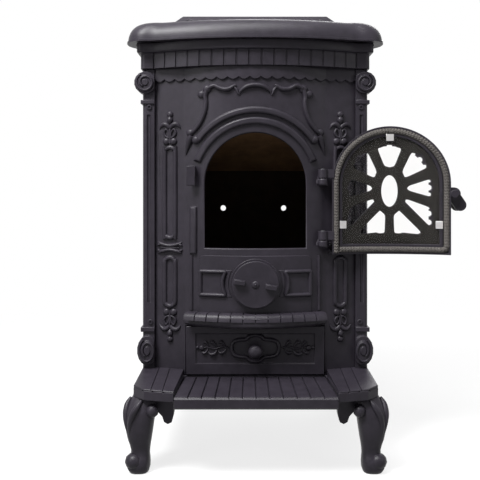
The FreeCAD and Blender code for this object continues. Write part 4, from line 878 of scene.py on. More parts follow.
def leg_place(signs, along, across, height):
    """Place on one leg in mm, from distances along and across the stove's diagonal."""
    diagonal = Vector(signs).normalized()
    side = Vector((-diagonal.y, diagonal.x))
    spot = Vector((signs[0] * LEG_X, signs[1] * LEG_Y)) + diagonal * along + side * across
    return Vector((spot.x, spot.y, height))


def leg_shaft(work, signs):
    """Knee, ankle and foot as one skin, slightly squared so that its corners catch the light."""
    rings = []
    for height, shift, deep, wide in LEG_RINGS:
        ring = []
        for k, (along, across) in enumerate(directions(LEG_SIDES)):
            square = 1 + LEG_SQUARE * math.cos(4 * 2 * math.pi * k / LEG_SIDES)      # four corners
            ring.append(leg_place(signs, shift + deep * square * along, wide * square * across, height))
        rings.append(ring)
    loft(work, rings)
    bmesh.ops.subdivide_edges(work, edges=work.edges, cuts=1, use_grid_fill=True, smooth=1.0)


# %% Leaf ridges and scrolls
RIDGE = [   # along, across, height, radius
    (20.0, 14.0, 119.0, 2.5), (28.0, 13.0, 110.0, 4.5), (34.0, 9.0, 98.0, 5.0), (36.0, 5.0, 84.0, 4.2),
    (34.0, 2.0, 68.0, 3.0), (29.0, 0.5, 52.0, 1.2),
]
KNEE_EYE, KNEE_EYE_R, KNEE_EYE_TALL = (8.0, 27.0, 103.0), 10.5, 1.05
FOOT_CURL, FOOT_CURL_R, FOOT_CURL_TALL = (25.0, 0.0, 19.5), 14.5, 0.95
TUBE_SIDES, TUBE_STEPS = 10, 5
TUBE_TILT = Vector((0.3, 0.2, 1.0))      # any direction that no ridge runs along


def tube(work, points):
    """Round cord of varying thickness through (x, y, z, radius) points in mm."""
    line = smooth_line(points, False, TUBE_STEPS)
    rings = []
    for index, (x, y, z, radius) in enumerate(line):
        before, after = line[max(index - 1, 0)], line[min(index + 1, len(line) - 1)]
        run = Vector([after[i] - before[i] for i in range(3)]).normalized()
        side = run.cross(TUBE_TILT).normalized()
        up = side.cross(run)
        rings.append([Vector((x, y, z)) + (side * cos + up * sin) * radius
                      for cos, sin in directions(TUBE_SIDES)])
    loft(work, rings)


def ball(work, centre, radius, tall):
    """Closed round boss for a scroll's eye."""
    for vert in bmesh.ops.create_icosphere(work, subdivisions=2, radius=1.0)["verts"]:
        vert.co = (centre + Vector((vert.co.x, vert.co.y, vert.co.z * tall)) * radius) * MM


def leg_carving(work, signs):
    """Leaf ridges down the knee, scrolls beside it and a curl on the foot."""
    for side in (-1, 1):
        tube(work, [(*leg_place(signs, along, side * across, height), radius)
                    for along, across, height, radius in RIDGE])
        along, across, height = KNEE_EYE
        ball(work, leg_place(signs, along, side * across, height), KNEE_EYE_R, KNEE_EYE_TALL)
    ball(work, leg_place(signs, *FOOT_CURL), FOOT_CURL_R, FOOT_CURL_TALL)


# %% Bracket ears
EAR_T = 14.0
EAR = [(0.0, 0.0), (46.0, 0.0), (46.0, 30.0), (42.5, 43.5), (36.0, 46.5), (30.0, 43.0), (27.0, 34.0),
       (20.0, 26.5), (10.0, 27.0), (0.0, 38.0)]      # reach from the leg, drop from its top


def leg_ears(work, signs):
    """Brackets from the knee along both sides of the base, with curved undersides."""
    for along_x in (True, False):
        rings = []
        for offset in (-EAR_T / 2, EAR_T / 2):
            ring = []
            for reach, drop in EAR:
                back, aside = (-reach, offset) if along_x else (offset, -reach)
                ring.append((signs[0] * (LEG_X + back), signs[1] * (LEG_Y + aside), LEG_TOP - drop))
            rings.append(ring)
        loft(work, rings)


# %% Make the four legs
for name, *signs in (("leg_front_left", -1, -1), ("leg_front_right", 1, -1),
                     ("leg_rear_left", -1, 1), ("leg_rear_right", 1, 1)):
    work = bmesh.new()
    leg_shaft(work, signs)
    leg_carving(work, signs)
    leg_ears(work, signs)
    carved_piece(name + "_cabriole", work, crease=42, stands_for=[name])

# %% [markdown]
# ## Geometry Nodes helper
# Things that repeat, such as the rope's stitches, screws and slats, come from Geometry Nodes. The
# tree below starts from a mesh of points and puts one pattern on every point, turned by an
# attribute that the points carry. The result is realised, gets its material and becomes a plain
# mesh, because the export keeps no instances.

# %% Build a repeating tree
repeat_pattern = bpy.data.node_groups.new("repeat_pattern", "GeometryNodeTree")
inputs = (("Geometry", "Geometry"), ("Pattern", "Object"), ("Size", "Float"), ("Finish", "Material"))
for label, kind in inputs:
    repeat_pattern.interface.new_socket(label, in_out="INPUT", socket_type="NodeSocket" + kind)
repeat_pattern.interface.new_socket("Geometry", in_out="OUTPUT", socket_type="NodeSocketGeometry")
given = new_node(repeat_pattern, "NodeGroupInput").outputs
pattern = new_node(repeat_pattern, "GeometryNodeObjectInfo", {"Object": given["Pattern"]})
turn = new_node(repeat_pattern, "GeometryNodeInputNamedAttribute", {"Name": "turn"}, data_type="FLOAT_VECTOR")
copies = new_node(repeat_pattern, "GeometryNodeInstanceOnPoints", {
    "Points": given["Geometry"], "Instance": pattern.outputs["Geometry"],
    "Rotation": turn.outputs["Attribute"], "Scale": given["Size"]})
solid = new_node(repeat_pattern, "GeometryNodeRealizeInstances", {"Geometry": copies.outputs["Instances"]})
paint = new_node(repeat_pattern, "GeometryNodeSetMaterial",
                 {"Geometry": solid.outputs["Geometry"], "Material": given["Finish"]})
new_node(repeat_pattern, "NodeGroupOutput", {"Geometry": paint.outputs["Geometry"]})
print("tree", repeat_pattern.name, len(repeat_pattern.nodes), "nodes")


# %% Repeat a pattern
def evaluated_mesh(item):
    """Plain mesh of what an object's modifiers or curve settings make of it."""
    bpy.context.view_layer.update()
    return bpy.data.meshes.new_from_object(item.evaluated_get(bpy.context.evaluated_depsgraph_get()))


def repeated(name, work, places, crease=40, slot="cast_iron", body="stove", size=1.0):
    """Piece with one copy of a pattern at each (point in mm, Matrix) place."""
    pattern = placed(name + "_pattern", mesh_of(name + "_pattern", work, crease))
    points = bpy.data.meshes.new(name + "_points")
    points.from_pydata([spot * MM for spot, turn in places], [], [])
    turns = points.attributes.new("turn", "FLOAT_VECTOR", "POINT")
    for item, (spot, turn) in zip(turns.data, places):
        item.vector = turn.to_euler()
    source = placed(name + "_points", points)
    modifier = source.modifiers.new("repeat", "NODES")
    modifier.node_group = repeat_pattern
    inputs = [item for item in repeat_pattern.interface.items_tree if item.in_out == "INPUT"]
    sockets = {item.name: item.identifier for item in inputs}
    modifier[sockets["Pattern"]] = pattern
    modifier[sockets["Size"]] = size
    modifier[sockets["Finish"]] = finishes[slot]
    mesh = evaluated_mesh(source)
    source.modifiers.remove(modifier)
    for spare in (source, pattern):
        bpy.data.objects.remove(spare)
    mesh.name = name
    print(name, len(places), "copies", len(mesh.polygons), "faces")
    return new_piece(name, mesh, slot, body)


# %% [markdown]
# ## Sealing rope
# A rope of knitted glass yarn is glued in a groove round the door's inner face. The knit is rows
# of small stitches that lean left and right in turn, set round a plain core which closes the gaps
# between them. One stitch is modelled and repeated along the groove. The path is worked out for
# the shut door and then swung open with it.

# %% The rope's path (mm, door shut)
HINGE = Vector((116.0, -122.0, 0))
DOOR_OPEN = Matrix.Rotation(math.radians(176.0), 3, "Z")
ARCH_Z = 469.0
ROPE_HALF, ROPE_START, ROPE_FOOT, ROPE_LIFT = 91.75, 353.0, 356.25, 5.3
ROPE_CORNER, ROPE_R, ROW_PITCH = 6.0, 4.8, 5.0


def swung(spot):
    """Swing a point of the shut door to where the open door has it."""
    return DOOR_OPEN @ (spot - HINGE) + HINGE


def on_door(x, z, lift):
    """Point on the open door, by its place when shut."""
    return swung(on_bay(x, z, lift))


def evenly(line, step):
    """Points a step apart along a line of points."""
    result, ahead = [], 0.0
    for (x0, z0), (x1, z1) in zip(line, line[1:]):
        length = math.hypot(x1 - x0, z1 - z0)
        while ahead < length:
            result.append((x0 + (x1 - x0) * ahead / length, z0 + (z1 - z0) * ahead / length))
            ahead += step
        ahead -= length
    return result


groove = [(ROPE_HALF, ROPE_START)]
groove += arc_points(0, ARCH_Z, ROPE_HALF, 0, 180, 40)
groove += arc_points(ROPE_CORNER - ROPE_HALF, ROPE_FOOT + ROPE_CORNER, ROPE_CORNER, 180, 270, 6)
groove += [(ROPE_HALF - ROPE_R, ROPE_FOOT)]
rope_path = evenly(groove, ROW_PITCH)
rows = []
for index, spot in enumerate(rope_path):
    before, after = rope_path[max(index - 1, 0)], rope_path[min(index + 1, len(rope_path) - 1)]
    here = on_door(*spot, ROPE_LIFT)
    along = (on_door(*after, ROPE_LIFT) - on_door(*before, ROPE_LIFT)).normalized()
    out = (on_door(*spot, ROPE_LIFT - 1) - here).normalized()
    rows.append((here, Matrix((along, out, along.cross(out).normalized())).transposed()))
print("rope rows", len(rows))

# %% Stitches along the rope
STITCHES, STITCH_SIDES, STITCH_SINK = 6, 5, 1.0
STITCH_L, STITCH_R, STITCH_TALL, STITCH_LEAN = 3.6, 1.35, 1.2, math.radians(34)
work = bmesh.new()
loft(work, [[(along * STITCH_L, out * STITCH_R * size, up * STITCH_R * size * STITCH_TALL)
             for out, up in directions(STITCH_SIDES)]
            for along, size in ((-1.0, 0.3), (-0.4, 1.0), (0.4, 1.0), (1.0, 0.3))])
places = []
for here, basis in rows:
    for k in range(2 * STITCHES):
        round_turn = Matrix.Rotation(math.pi * k / STITCHES, 3, "X")
        lean = Matrix.Rotation(STITCH_LEAN * (1 if k % 2 else -1), 3, "Y")
        seat = here + basis @ round_turn @ Vector((0, ROPE_R - STITCH_SINK, 0))
        places.append((seat, basis @ round_turn @ lean))
repeated("rope_stitches", work, places, crease=80, slot="sealing_rope", body="fire_door")

# %% Core of the rope
CORE_R, CORE_SIDES = ROPE_R - 1.9, 10
work = bmesh.new()
loft(work, [[here + basis @ Vector((0, out, up)) * CORE_R for out, up in directions(CORE_SIDES)]
            for here, basis in rows])
carved_piece("rope_core", work, slot="sealing_rope", body="fire_door", stands_for=["door_rope"])

# %% [markdown]
# ## Scalloped valance
# Under the frieze hangs a shallow band with a scalloped lower edge. It follows the strips and the
# bay, so its columns are laid by the same functions as the carving: each column is a short section
# of the band, and the lower edge swings in arcs from column to column.

# %% Lay the valance (mm)
VALANCE_TOP, VALANCE_FOOT, VALANCE_LIFT = 669.8, 651.0, 3.6
LOBE_DROP, LOBE_STEPS, LOBE_ROUND = 4.6, 10, 1.4
BAY_LOBES, STRIP_LOBES = 13, 3
STRIP_HALF = math.hypot(STRIP_OUT[0] - BAY_HALF, STRIP_OUT[1] - BAY_Y) / 2


def valance(work, lay, half, lobes):
    """Band across a surface, with a number of arcs along its lower edge."""
    columns = []
    for k in range(lobes * LOBE_STEPS + 1):
        x = -half + 2 * half * k / (lobes * LOBE_STEPS)
        low = VALANCE_FOOT - LOBE_DROP * abs(math.sin(math.pi * k / LOBE_STEPS))
        section = ((VALANCE_TOP, -SINK), (VALANCE_TOP, VALANCE_LIFT), (low + LOBE_ROUND, VALANCE_LIFT),
                   (low, VALANCE_LIFT - LOBE_ROUND), (low, -SINK))
        columns.append([lay(x, z, lift) for z, lift in section])
    loft(work, columns)


work = bmesh.new()
valance(work, on_bay, BAY_HALF, BAY_LOBES)
for side in (-1, 1):
    valance(work, on_strip(side), STRIP_HALF, STRIP_LOBES)
carved_piece("scalloped_valance", work, crease=30)

# %% [markdown]
# ## Slats of the sill and the ledge
# The sill over the drawer and the hearth ledge are cast to look like narrow boards with dark
# joints. One board is modelled for each, with softened edges, and repeated: round the bay's axis
# for the sill, and in a slight fan for the ledge, whose front is wider than its back. The wings on
# both sides of the ledge have three boards each that climb towards the stove; no two are alike
# there, so each is laid from its own outline.

# %% Sill slats
SLAT_JOINT, SLAT_SOFT = 0.9, 0.8
SILL_SLATS, SILL_TURN = 12, math.radians(47.0)
SILL_SECTION = ((290.5, 236.0), (290.5, 249.0), (302.0, 249.0), (307.0, 246.8), (309.8, 242.0),
                (310.8, 236.5))            # reach from the bay's axis, height
SILL_FACE, SILL_UNDER = 248.0, 237.0       # points below the first sink back, points above the second down
slat_turn = SILL_TURN / SILL_SLATS
work = bmesh.new()
rings = []
for share, sunk in ((-1.0, SLAT_SOFT), (-0.94, 0.0), (0.0, 0.0), (0.94, 0.0), (1.0, SLAT_SOFT)):
    turn = share * (slat_turn / 2 - SLAT_JOINT / 2 / BOW_R)
    ring = []
    for reach, z in SILL_SECTION:
        reach -= sunk if z < SILL_FACE else 0
        z -= sunk if z > SILL_UNDER else 0
        ring.append((reach * math.sin(turn), -reach * math.cos(turn), z))
    rings.append(ring)
loft(work, rings)
turns = [slat_turn * (k - (SILL_SLATS - 1) / 2) for k in range(SILL_SLATS)]
places = [(Vector((0, BOW_Y, 0)), Matrix.Rotation(turn, 3, "Z")) for turn in turns]
repeated("sill_slats", work, places)

# %% Ledge slats
LEDGE_SLATS, LEDGE_BACK, LEDGE_LONG, LEDGE_NOSE = 12, -110.4, 115.8, 2.0
PITCH_BACK, PITCH_FRONT = 20.33, 21.38
LEDGE_TOP, LEDGE_UNDER, LEDGE_SOFT = 134.3, 131.0, 0.9
work = bmesh.new()
rings = []
for ahead, half, sunk in ((0.0, PITCH_BACK / 2, 0.0), (LEDGE_LONG - LEDGE_NOSE, PITCH_FRONT / 2, 0.0),
                          (LEDGE_LONG, PITCH_FRONT / 2, LEDGE_SOFT)):
    half -= SLAT_JOINT
    top = LEDGE_TOP - sunk
    section = ((-half, LEDGE_UNDER), (-half, top - LEDGE_SOFT), (LEDGE_SOFT - half, top),
               (half - LEDGE_SOFT, top), (half, top - LEDGE_SOFT), (half, LEDGE_UNDER))
    rings.append([(x, -ahead, z) for x, z in section])
loft(work, rings)
places = []
for k in range(LEDGE_SLATS):
    step = k - (LEDGE_SLATS - 1) / 2
    fan = math.asin(step * (PITCH_FRONT - PITCH_BACK) / LEDGE_LONG)
    places.append((Vector((step * PITCH_BACK, LEDGE_BACK, 0)), Matrix.Rotation(fan, 3, "Z")))
repeated("ledge_slats", work, places, crease=30)

# %% Wing boards
WING_JOINTS = (130.5, 149.0, 168.0, 199.0)
WING_Y, WING_CUT = (-215.4, -204.4, -184.6), (179.0, 198.6)    # front edge and its cut corner
WING_Z, WING_CLIMB = (138.7, 147.6), (-216.0, -95.0)           # boards climb towards the stove
WING_INNER_X, WING_OUTER_BACK = 124.4, (196.6, -93.0)          # back corners beside the bay and the post
WING_SOFT, WING_TUCK = 0.8, 2.4                                # the boards' ends go under the strip


def between(value, start, end, low, high):
    """Straight change from low to high as a value goes from start to end."""
    return low + (high - low) * (value - start) / (end - start)


def wing_front(x):
    """Front edge of the wing at a place along it."""
    return between(x, WING_JOINTS[0], WING_CUT[0], WING_Y[0], WING_Y[1])


def wing_back(x):
    """Back end of a board, just inside the slanted strip."""
    return BAY_Y + (x - BAY_HALF) * strip_run.y / strip_run.x + WING_TUCK


def drawn_in(outline, distance):
    """Outline whose points move towards its middle by a distance."""
    centre = Vector([sum(values) / len(outline) for values in zip(*outline)])
    return [Vector(spot) + (centre - Vector(spot)).normalized() * distance for spot in outline]


def wing_board(work, side, left, right):
    """One board with softened upper edges, its foot a little inside the base."""
    inner, outer = left + SLAT_JOINT / 2, right - SLAT_JOINT / 2
    outline = [(inner, wing_front(inner))]
    if right == WING_JOINTS[-1]:
        outline += [(WING_CUT[0], WING_Y[1]), (WING_CUT[1], WING_Y[2]), WING_OUTER_BACK]
    else:
        outline += [(outer, wing_front(outer)), (outer, wing_back(outer))]
    back_x = WING_INNER_X if left == WING_JOINTS[0] else inner
    outline.append((back_x, wing_back(back_x)))
    rings = [[(side * x, y, WING_Z[0] - SINK) for x, y in outline]]
    for sunk, draw in ((WING_SOFT, 0.0), (0.0, WING_SOFT)):
        rings.append([(side * x, y, between(y, *WING_CLIMB, *WING_Z) - sunk)
                      for x, y in drawn_in(outline, draw)])
    loft(work, rings)


work = bmesh.new()
for side in (-1, 1):
    for left, right in zip(WING_JOINTS, WING_JOINTS[1:]):
        wing_board(work, side, left, right)
carved_piece("wing_boards", work, crease=20)

# %% [markdown]
# ## Screws
# Socket screws hold the posts, and the back is bolted together in the same way. A small head with
# a six-sided socket is repeated at each place; a ray finds the casting's surface there, so every
# head sits on its iron.


# %% Find a surface
FAR = 1000.0                  # mm from the stove's middle at which a ray starts


def surface(name, start, way):
    """Point where a ray meets a casting, in mm."""
    mesh = nodes[name].data
    skin = BVHTree.FromPolygons([v.co for v in mesh.vertices], [list(p.vertices) for p in mesh.polygons])
    return skin.ray_cast(Vector(start) * MM, Vector(way))[0] / MM


# %% Screw heads
HEAD_R, HEAD_H, HEAD_SINK, HEAD_SOFT, HEAD_SIDES = 4.6, 2.6, 1.0, 0.8, 12
SOCKET_R, SOCKET_DEEP, SOCKET_TAPER = 2.5, 1.9, 0.96
SOCKET_FLAT = math.cos(math.pi / 6)      # middle of a six-sided socket's side, for a corner at 1
POST_SCREWS = ((185.0, 603.5), (183.0, 228.5))
BACK_SCREWS = ((60.0, 656.0), (60.0, 536.0), (168.0, 650.0), (168.0, 400.0), (168.0, 170.0))
work = bmesh.new()
rings = []
for radius, ahead, flat in ((HEAD_R, -HEAD_SINK, 1.0), (HEAD_R, HEAD_H - HEAD_SOFT, 1.0),
                            (HEAD_R - HEAD_SOFT, HEAD_H, 1.0), (SOCKET_R, HEAD_H, SOCKET_FLAT),
                            (SOCKET_R * SOCKET_TAPER, HEAD_H - SOCKET_DEEP, SOCKET_FLAT)):
    ring = []
    for k, (x, z) in enumerate(directions(HEAD_SIDES)):
        reach = radius * (flat if k % 2 else 1.0)
        ring.append((reach * x, -ahead, reach * z))
    rings.append(ring)
loft(work, rings)
turned_back = Matrix.Rotation(math.pi, 3, "Z")
places = []
for side, post in ((-1, "corner_post_left"), (1, "corner_post_right")):
    for x, z in POST_SCREWS:
        places.append((surface(post, (side * x, -FAR, z), (0, 1, 0)), Matrix.Identity(3)))
    for x, z in BACK_SCREWS:
        places.append((surface("back_panel", (side * x, FAR, z), (0, -1, 0)), turned_back))
repeated("fixing_screws", work, places, crease=35)

# %% [markdown]
# ## Volutes, jamb beads, wheel stud and lid leaves
# Small carved extras: a spiral on each volute of the posts, a thin upright bead on each side of the
# air panel, a stud at the wheel's middle and a running leaf on the lid's slopes.

# %% Volutes and jamb beads
VOLUTES = (((188.0, 179.0), (18.0, 26.0)), ((191.5, 646.0), (19.5, 19.5)))    # middle and half sizes
VOLUTE_FACE, VOLUTE_RISE = -106.0, 4.5
RISE_START, RISE_OVER = 0.9, 0.7         # shares of the half size at which, and over which, it rises
SPIRAL_STEPS, SPIRAL_START, SPIRAL_TURN = 15, 60, 34
SPIRAL_REACH, SPIRAL_DRAW, SPIRAL_W, SPIRAL_THIN = 0.86, 0.032, 5.4, 0.12
JAMB_X, JAMB_Z, JAMB_W = 110.0, (251.0, 280.0, 315.0, 346.0), 5.4


def on_volute(side, centre, half):
    """Lays coordinates on a volute, which rises towards its eye."""
    def lay(x, z, lift):
        share = math.hypot((x - centre[0]) / half[0], (z - centre[1]) / half[1])
        rise = VOLUTE_RISE * min(1.0, max(0.0, (RISE_START - share) / RISE_OVER))
        return Vector((side * x, VOLUTE_FACE - rise - lift, z))
    return lay


def spiral(centre, half):
    """Line that winds in towards a volute's eye and grows thinner."""
    line = []
    for k in range(SPIRAL_STEPS):
        turn, share = math.radians(SPIRAL_START - SPIRAL_TURN * k), SPIRAL_REACH - SPIRAL_DRAW * k
        line.append((centre[0] + half[0] * share * math.cos(turn),
                     centre[1] + half[1] * share * math.sin(turn), SPIRAL_W - SPIRAL_THIN * k))
    return line


work = bmesh.new()
for side in (-1, 1):
    for volute in VOLUTES:
        stroke(work, on_volute(side, *volute), spiral(*volute), rise=0.6, steps=3)
    stroke(work, on_bay, [(side * JAMB_X, z, JAMB_W) for z in JAMB_Z], rise=0.6)
carved_piece("volutes_and_beads", work)

# %% Wheel stud
WHEEL_FACE = -148.9
STUD = ((6.6, 0.4), (2.8, 1.4))          # radius and rise of the stud and of its tip
work = bmesh.new()
for radius, rise in STUD:
    dome(work, on_front(WHEEL_FACE), 0, AIR_Z, radius, rise)
carved_piece("wheel_stud", work, body="air_control")

# %% Lid leaves
LID_FOOT, LID_EDGE_X, LID_EDGE_Y, LID_MID = 748.0, 155.0, 111.0, 27.0
WAVE, WAVE_UP, WAVE_MID = 18.0, 6.5, 16.0      # half a wave along the slope, its height and middle
WAVES_X, WAVES_Y, STEM_W = 14, 9, 4.0
LID_DROP = ((WAVE_UP - 1.5, 2.5), (2.0, 5.5), (-3.5, 7.0), (-8.0, 1.5))     # up the slope, width
SLOPE = math.sqrt(0.5)


def on_lid(along_x, side):
    """Lays (along, up the slope) on one of the lid's four slopes."""
    def lay(along, up, lift):
        out = (LID_EDGE_Y if along_x else LID_EDGE_X) + (lift - up) * SLOPE
        z = LID_FOOT + (up + lift) * SLOPE
        x, y = (along, side * out) if along_x else (side * out, along)
        return Vector((x, LID_MID + y, z))
    return lay


work = bmesh.new()
for along_x, waves in ((True, WAVES_X), (False, WAVES_Y)):
    start = -waves * WAVE / 2
    stem = [(start + WAVE / 4 * k, WAVE_MID + WAVE_UP * math.sin(math.pi / 4 * k), STEM_W)
            for k in range(4 * waves + 1)]
    for side in (-1, 1):
        lay = on_lid(along_x, side)
        stroke(work, lay, stem, rise=0.55, steps=2)
        for k in range(waves):
            drop = [(start + WAVE * (k + 0.5), z, width) for z, width in LID_DROP]
            stroke(work, lay, set_out(drop, 1, WAVE_MID, -1 if k % 2 else 1), rise=0.45, steps=4)
carved_piece("lid_leaves", work, body="hob_lid")

# %% [markdown]
# ## Side panels
# The sides are cast plates too, so they carry the same sort of relief as the front: a shaped bead
# frame with hollow corners, an oval ring in the middle and a fleuron above and below it.

# %% Carve the sides
SIDE_MID_Y, SIDE_MID_Z, SIDE_HALF, SIDE_HIGH, SIDE_HOLLOW, SIDE_W = 46.0, 402.0, 92.0, 218.0, 24.0, 6.5
OVAL, OVAL_SIDES, OVAL_GAP, CORNER_BOSS_R = (38.0, 58.0), 24, 6.0, 7.5
hollow_frame = []
for sx, sz, turn in ((1, 1, 270), (-1, 1, 360), (-1, -1, 90), (1, -1, 180)):
    corner = arc_points(sx * SIDE_HALF, SIDE_MID_Z + sz * SIDE_HIGH, SIDE_HOLLOW, turn, turn - 90, 6)
    hollow_frame += [(x, z, SIDE_W) for x, z in corner]


def on_side(side, face_x):
    """Lays coordinates on a side panel, x measured along the stove from the panel's middle."""
    def lay(x, z, lift):
        return Vector((side * (face_x + lift), SIDE_MID_Y + x, z))
    return lay


work = bmesh.new()
for side, panel in ((-1, "side_panel_left"), (1, "side_panel_right")):
    face = surface(panel, (side * FAR, SIDE_MID_Y, SIDE_MID_Z), (-side, 0, 0))
    lay = on_side(side, abs(face.x))
    stroke(work, lay, hollow_frame, rise=0.6, closed=True, steps=2)
    for size, width in ((1.0, 7.0), (0.78, 3.5)):
        ring = [(OVAL[0] * size * x, SIDE_MID_Z + OVAL[1] * size * z, width)
                for x, z in directions(OVAL_SIDES)]
        stroke(work, lay, ring, rise=0.6, closed=True, steps=2)
    for up in (-1, 1):
        fleuron(work, lay, SIDE_MID_Z + up * (OVAL[1] + OVAL_GAP), up)
        for x in (-SIDE_HALF, SIDE_HALF):
            dome(work, lay, x, SIDE_MID_Z + up * SIDE_HIGH, CORNER_BOSS_R, rise=0.6)
carved_piece("side_carving", work)

# %% [markdown]
# ## Pane and latch lever
# The pane is a bent sheet with an arched top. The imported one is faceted, and facets show in glass,
# so it is made again from many narrow columns with smooth normals. The latch lever is a flat bar
# with round ends, a pivot boss on the inside and a riveted tip.

# %% Pane
PANE_HALF, PANE_FOOT, PANE_IN, PANE_OUT, PANE_COLUMNS = 82.7, 365.3, 4.0, 8.0, 72
work = bmesh.new()
columns = []
for x in close_at_ends(PANE_HALF, PANE_COLUMNS):
    top = ARCH_Z + math.sqrt(max(PANE_HALF ** 2 - x ** 2, 0.0))
    section = ((PANE_FOOT, PANE_IN), (top, PANE_IN), (top, PANE_OUT), (PANE_FOOT, PANE_OUT))
    columns.append([on_door(x, z, lift) for z, lift in section])
loft(work, columns)
carved_piece("bent_pane", work, crease=30, slot="glass", body="fire_door", stands_for=["door_glass"])

# %% Latch lever
PIVOT, TIP = (-106.0, 452.0), (-118.7, 432.8)
LEVER_Y, SHAFT_Y, CATCH_Y, RIVET_Y = (-140.3, -133.3), (-134.0, -123.0), (-123.7, -119.3), (-133.8, -132.1)
LEVER_R, TIP_R, SHAFT_R, RIVET_R = 10.0, 10.2, 4.0, 3.6
CATCH_R, CATCH_TIP_R, CATCH_L, CATCH_TURN = 7.0, 5.0, 5.0, math.radians(150)


def bar_outline(start, end, start_r, end_r):
    """Outline of a flat bar with round ends."""
    turn = math.degrees(math.atan2(end[1] - start[1], end[0] - start[0]))
    return (arc_points(*end, end_r, turn - 90, turn + 90, 12)
            + arc_points(*start, start_r, turn + 90, turn + 270, 12))


def flat_bar(work, outline, depth, soft=1.0):
    """Bar between two depths, its edges softened by narrower outer rings."""
    levels = ((depth[0], soft), (depth[0] + soft, 0.0), (depth[1] - soft, 0.0), (depth[1], soft))
    loft(work, [[swung(Vector((x, y, z))) for x, z in drawn_in(outline, draw)] for y, draw in levels])


catch_end = (PIVOT[0] + CATCH_L * math.cos(CATCH_TURN), PIVOT[1] + CATCH_L * math.sin(CATCH_TURN))
work = bmesh.new()
flat_bar(work, bar_outline(PIVOT, TIP, LEVER_R, TIP_R), LEVER_Y)
flat_bar(work, arc_points(*PIVOT, SHAFT_R, 0, 330, 11), SHAFT_Y, soft=0.3)
flat_bar(work, bar_outline(PIVOT, catch_end, CATCH_R, CATCH_TIP_R), CATCH_Y)
flat_bar(work, arc_points(*TIP, RIVET_R, 0, 330, 11), RIVET_Y, soft=0.6)
carved_piece("latch_lever", work, crease=35, body="door_handle", stands_for=["handle_lever"])

# %% [markdown]
# ## Spokes of the door
# Nine broad spokes run from a thick oval hub to the door's rim, and the windows between them have
# soft corners and small notches along their outer edges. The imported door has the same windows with
# plainer edges. A flat curve with holes fills itself, takes a soft bevel and needs no boolean, so
# the web is drawn flat, cut into narrow columns, bent to the door's bow and swung open with it.
# Smoke has dulled the paint of its inner side. Outside, a thin bead runs round the door.

# %% Windows, in mm from the hub's middle
HUB_Z, HUB_HOLE, HUB_SIDES = 457.0, (14.4, 27.4), 40
WEB_HALF, WEB_FOOT = 82.6, -91.6
CORNER_CUT, CORNER_PASSES = 0.13, 2
top_window = [(0.0, 41.0), (9.0, 43.5), (21.0, 73.5), (11.5, 76.5), (6.0, 80.0)]
top_window += [(-x, z) for x, z in reversed(top_window[1:])]
side_windows = [
    [(37.0, 66.5), (46.0, 64.5), (48.0, 62.0), (54.5, 62.0), (59.0, 55.5), (59.0, 49.0), (62.0, 46.0),
     (62.0, 39.5), (30.5, 24.5), (25.5, 24.0), (21.5, 34.0)],
    [(66.5, 20.0), (69.5, 17.0), (69.5, 11.5), (74.0, 4.5), (70.0, -2.0), (69.5, -8.0), (66.5, -9.5),
     (33.0, 0.5), (29.5, 4.5), (33.0, 9.0)],
    [(27.5, -15.0), (32.0, -15.0), (65.5, -27.5), (70.0, -33.0), (70.5, -40.5), (72.5, -46.0),
     (72.5, -52.5), (70.0, -60.0), (65.5, -59.0), (27.5, -23.5), (26.5, -19.0)],
    [(15.5, -34.5), (17.5, -34.5), (53.5, -71.0), (49.0, -74.5), (37.0, -73.5), (23.0, -72.0),
     (18.0, -73.5), (10.0, -73.0), (8.0, -71.0), (7.0, -42.0)],
]


def softened(outline):
    """Outline with its corners cut off, a little more each pass."""
    for _ in range(CORNER_PASSES):
        line = []
        for (x0, z0), (x1, z1) in zip(outline, outline[1:] + outline[:1]):
            for part in (CORNER_CUT, 1 - CORNER_CUT):
                line.append((x0 + (x1 - x0) * part, z0 + (z1 - z0) * part))
        outline = line
    return outline


rim = arc_points(0, ARCH_Z - HUB_Z, WEB_HALF, 0, 180, 32)
rim += [(-WEB_HALF, WEB_FOOT), (WEB_HALF, WEB_FOOT)]
hub = [(HUB_HOLE[0] * x, HUB_HOLE[1] * z) for x, z in directions(HUB_SIDES)]
outlines = [rim, hub, softened(top_window)]
for window in side_windows:
    outlines += [softened([(side * x, z) for x, z in window]) for side in (-1, 1)]
print("outlines", len(outlines))

# %% Draw the web flat
WEB_LIFT, WEB_SOFT, WEB_COLUMN = (8.05, 14.25), 0.5, 5.0
WEB_MERGE, CUT_MERGE = 1e-6, 1e-7         # metres within which corners are one
flat = bpy.data.curves.new("web_outlines", "CURVE")
flat.dimensions = "2D"
flat.fill_mode = "BOTH"
flat.extrude = ((WEB_LIFT[1] - WEB_LIFT[0]) / 2 - WEB_SOFT) * MM
flat.bevel_depth = WEB_SOFT * MM
flat.bevel_resolution = 1
flat.offset = -WEB_SOFT * MM
for outline in outlines:
    spline = flat.splines.new("POLY")
    spline.points.add(len(outline) - 1)
    for point, (x, z) in zip(spline.points, outline):
        point.co = (x * MM, z * MM, 0, 1)
    spline.use_cyclic_u = True
drawn = placed("web_outlines", flat)
work = bmesh.new()
work.from_mesh(evaluated_mesh(drawn))
bpy.data.objects.remove(drawn)
bmesh.ops.remove_doubles(work, verts=work.verts, dist=WEB_MERGE)
print("flat web", len(work.faces), "faces")

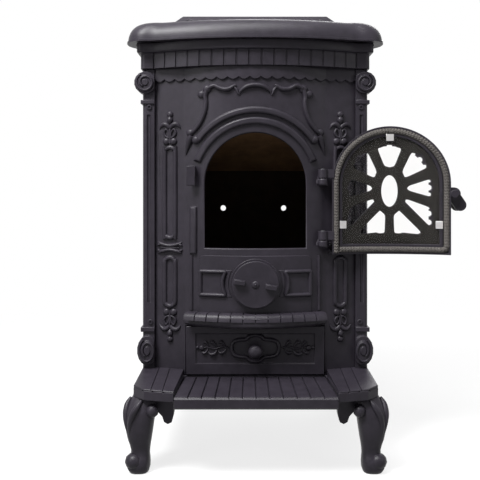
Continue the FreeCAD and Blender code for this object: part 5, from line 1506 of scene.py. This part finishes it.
# %% Bend the web to the door
INNER_SIDE = -0.6                        # the open door's inner side faces -Y
cut = -WEB_HALF + WEB_COLUMN
while cut < WEB_HALF:
    bmesh.ops.bisect_plane(work, geom=[*work.verts, *work.edges, *work.faces], dist=CUT_MERGE,
                           plane_co=(cut * MM, 0, 0), plane_no=(1, 0, 0))
    cut += WEB_COLUMN
middle_lift = sum(WEB_LIFT) / 2
for vert in work.verts:
    x, z, lift = vert.co.x / MM, HUB_Z + vert.co.y / MM, middle_lift + vert.co.z / MM
    bow = math.sqrt((BOW_R + lift) ** 2 - x ** 2)
    vert.co = swung(Vector((x, BOW_Y - bow, z))) * MM
web = carved_piece("door_web", work, crease=30, body="fire_door")
check = bmesh.new()
check.from_mesh(web.data)
if check.calc_volume(signed=True) < 0:   # a thin bent sheet can be taken for its inside
    web.data.flip_normals()
check.free()
finishes["smoked_paint"] = cast_finish(
    "smoked_paint", dark=(0.0075, 0.0068, 0.0062), light=(0.015, 0.0135, 0.012),
    rough=(0.50, 0.65), gloss=0.08, grain=1100.0, pour=70.0, bump=0.0003)
web.data.materials.append(finishes["smoked_paint"])
for face in web.data.polygons:
    face.material_index = 1 if face.normal.y < INNER_SIDE else 0

# %% Bead round the door's outer face
DOOR_FACE, BEAD_HALF, BEAD_FOOT, BEAD_CORNER, BEAD_REST, DOOR_BEAD_W = 14.0, 88.0, 355.0, 3.0, 40.0, 5.0


def on_door_face(x, z, lift):
    """Point on the open door's outer face, by its place when shut."""
    return on_door(x, z, DOOR_FACE + lift)


arch = arc_points(0, ARCH_Z, BEAD_HALF, 0, 180, 28)
jamb = [(-BEAD_HALF, ARCH_Z - BEAD_REST), (-BEAD_HALF, BEAD_FOOT + BEAD_REST),
        (-BEAD_HALF, BEAD_FOOT + BEAD_CORNER), (BEAD_CORNER - BEAD_HALF, BEAD_FOOT), (-BEAD_REST, BEAD_FOOT)]
bead = arch + jamb + [(0.0, BEAD_FOOT)] + [(-x, z) for x, z in reversed(jamb)]
work = bmesh.new()
stroke(work, on_door_face, [(x, z, DOOR_BEAD_W) for x, z in bead], rise=0.3, closed=True, steps=2)
carved_piece("door_bead", work, body="fire_door")
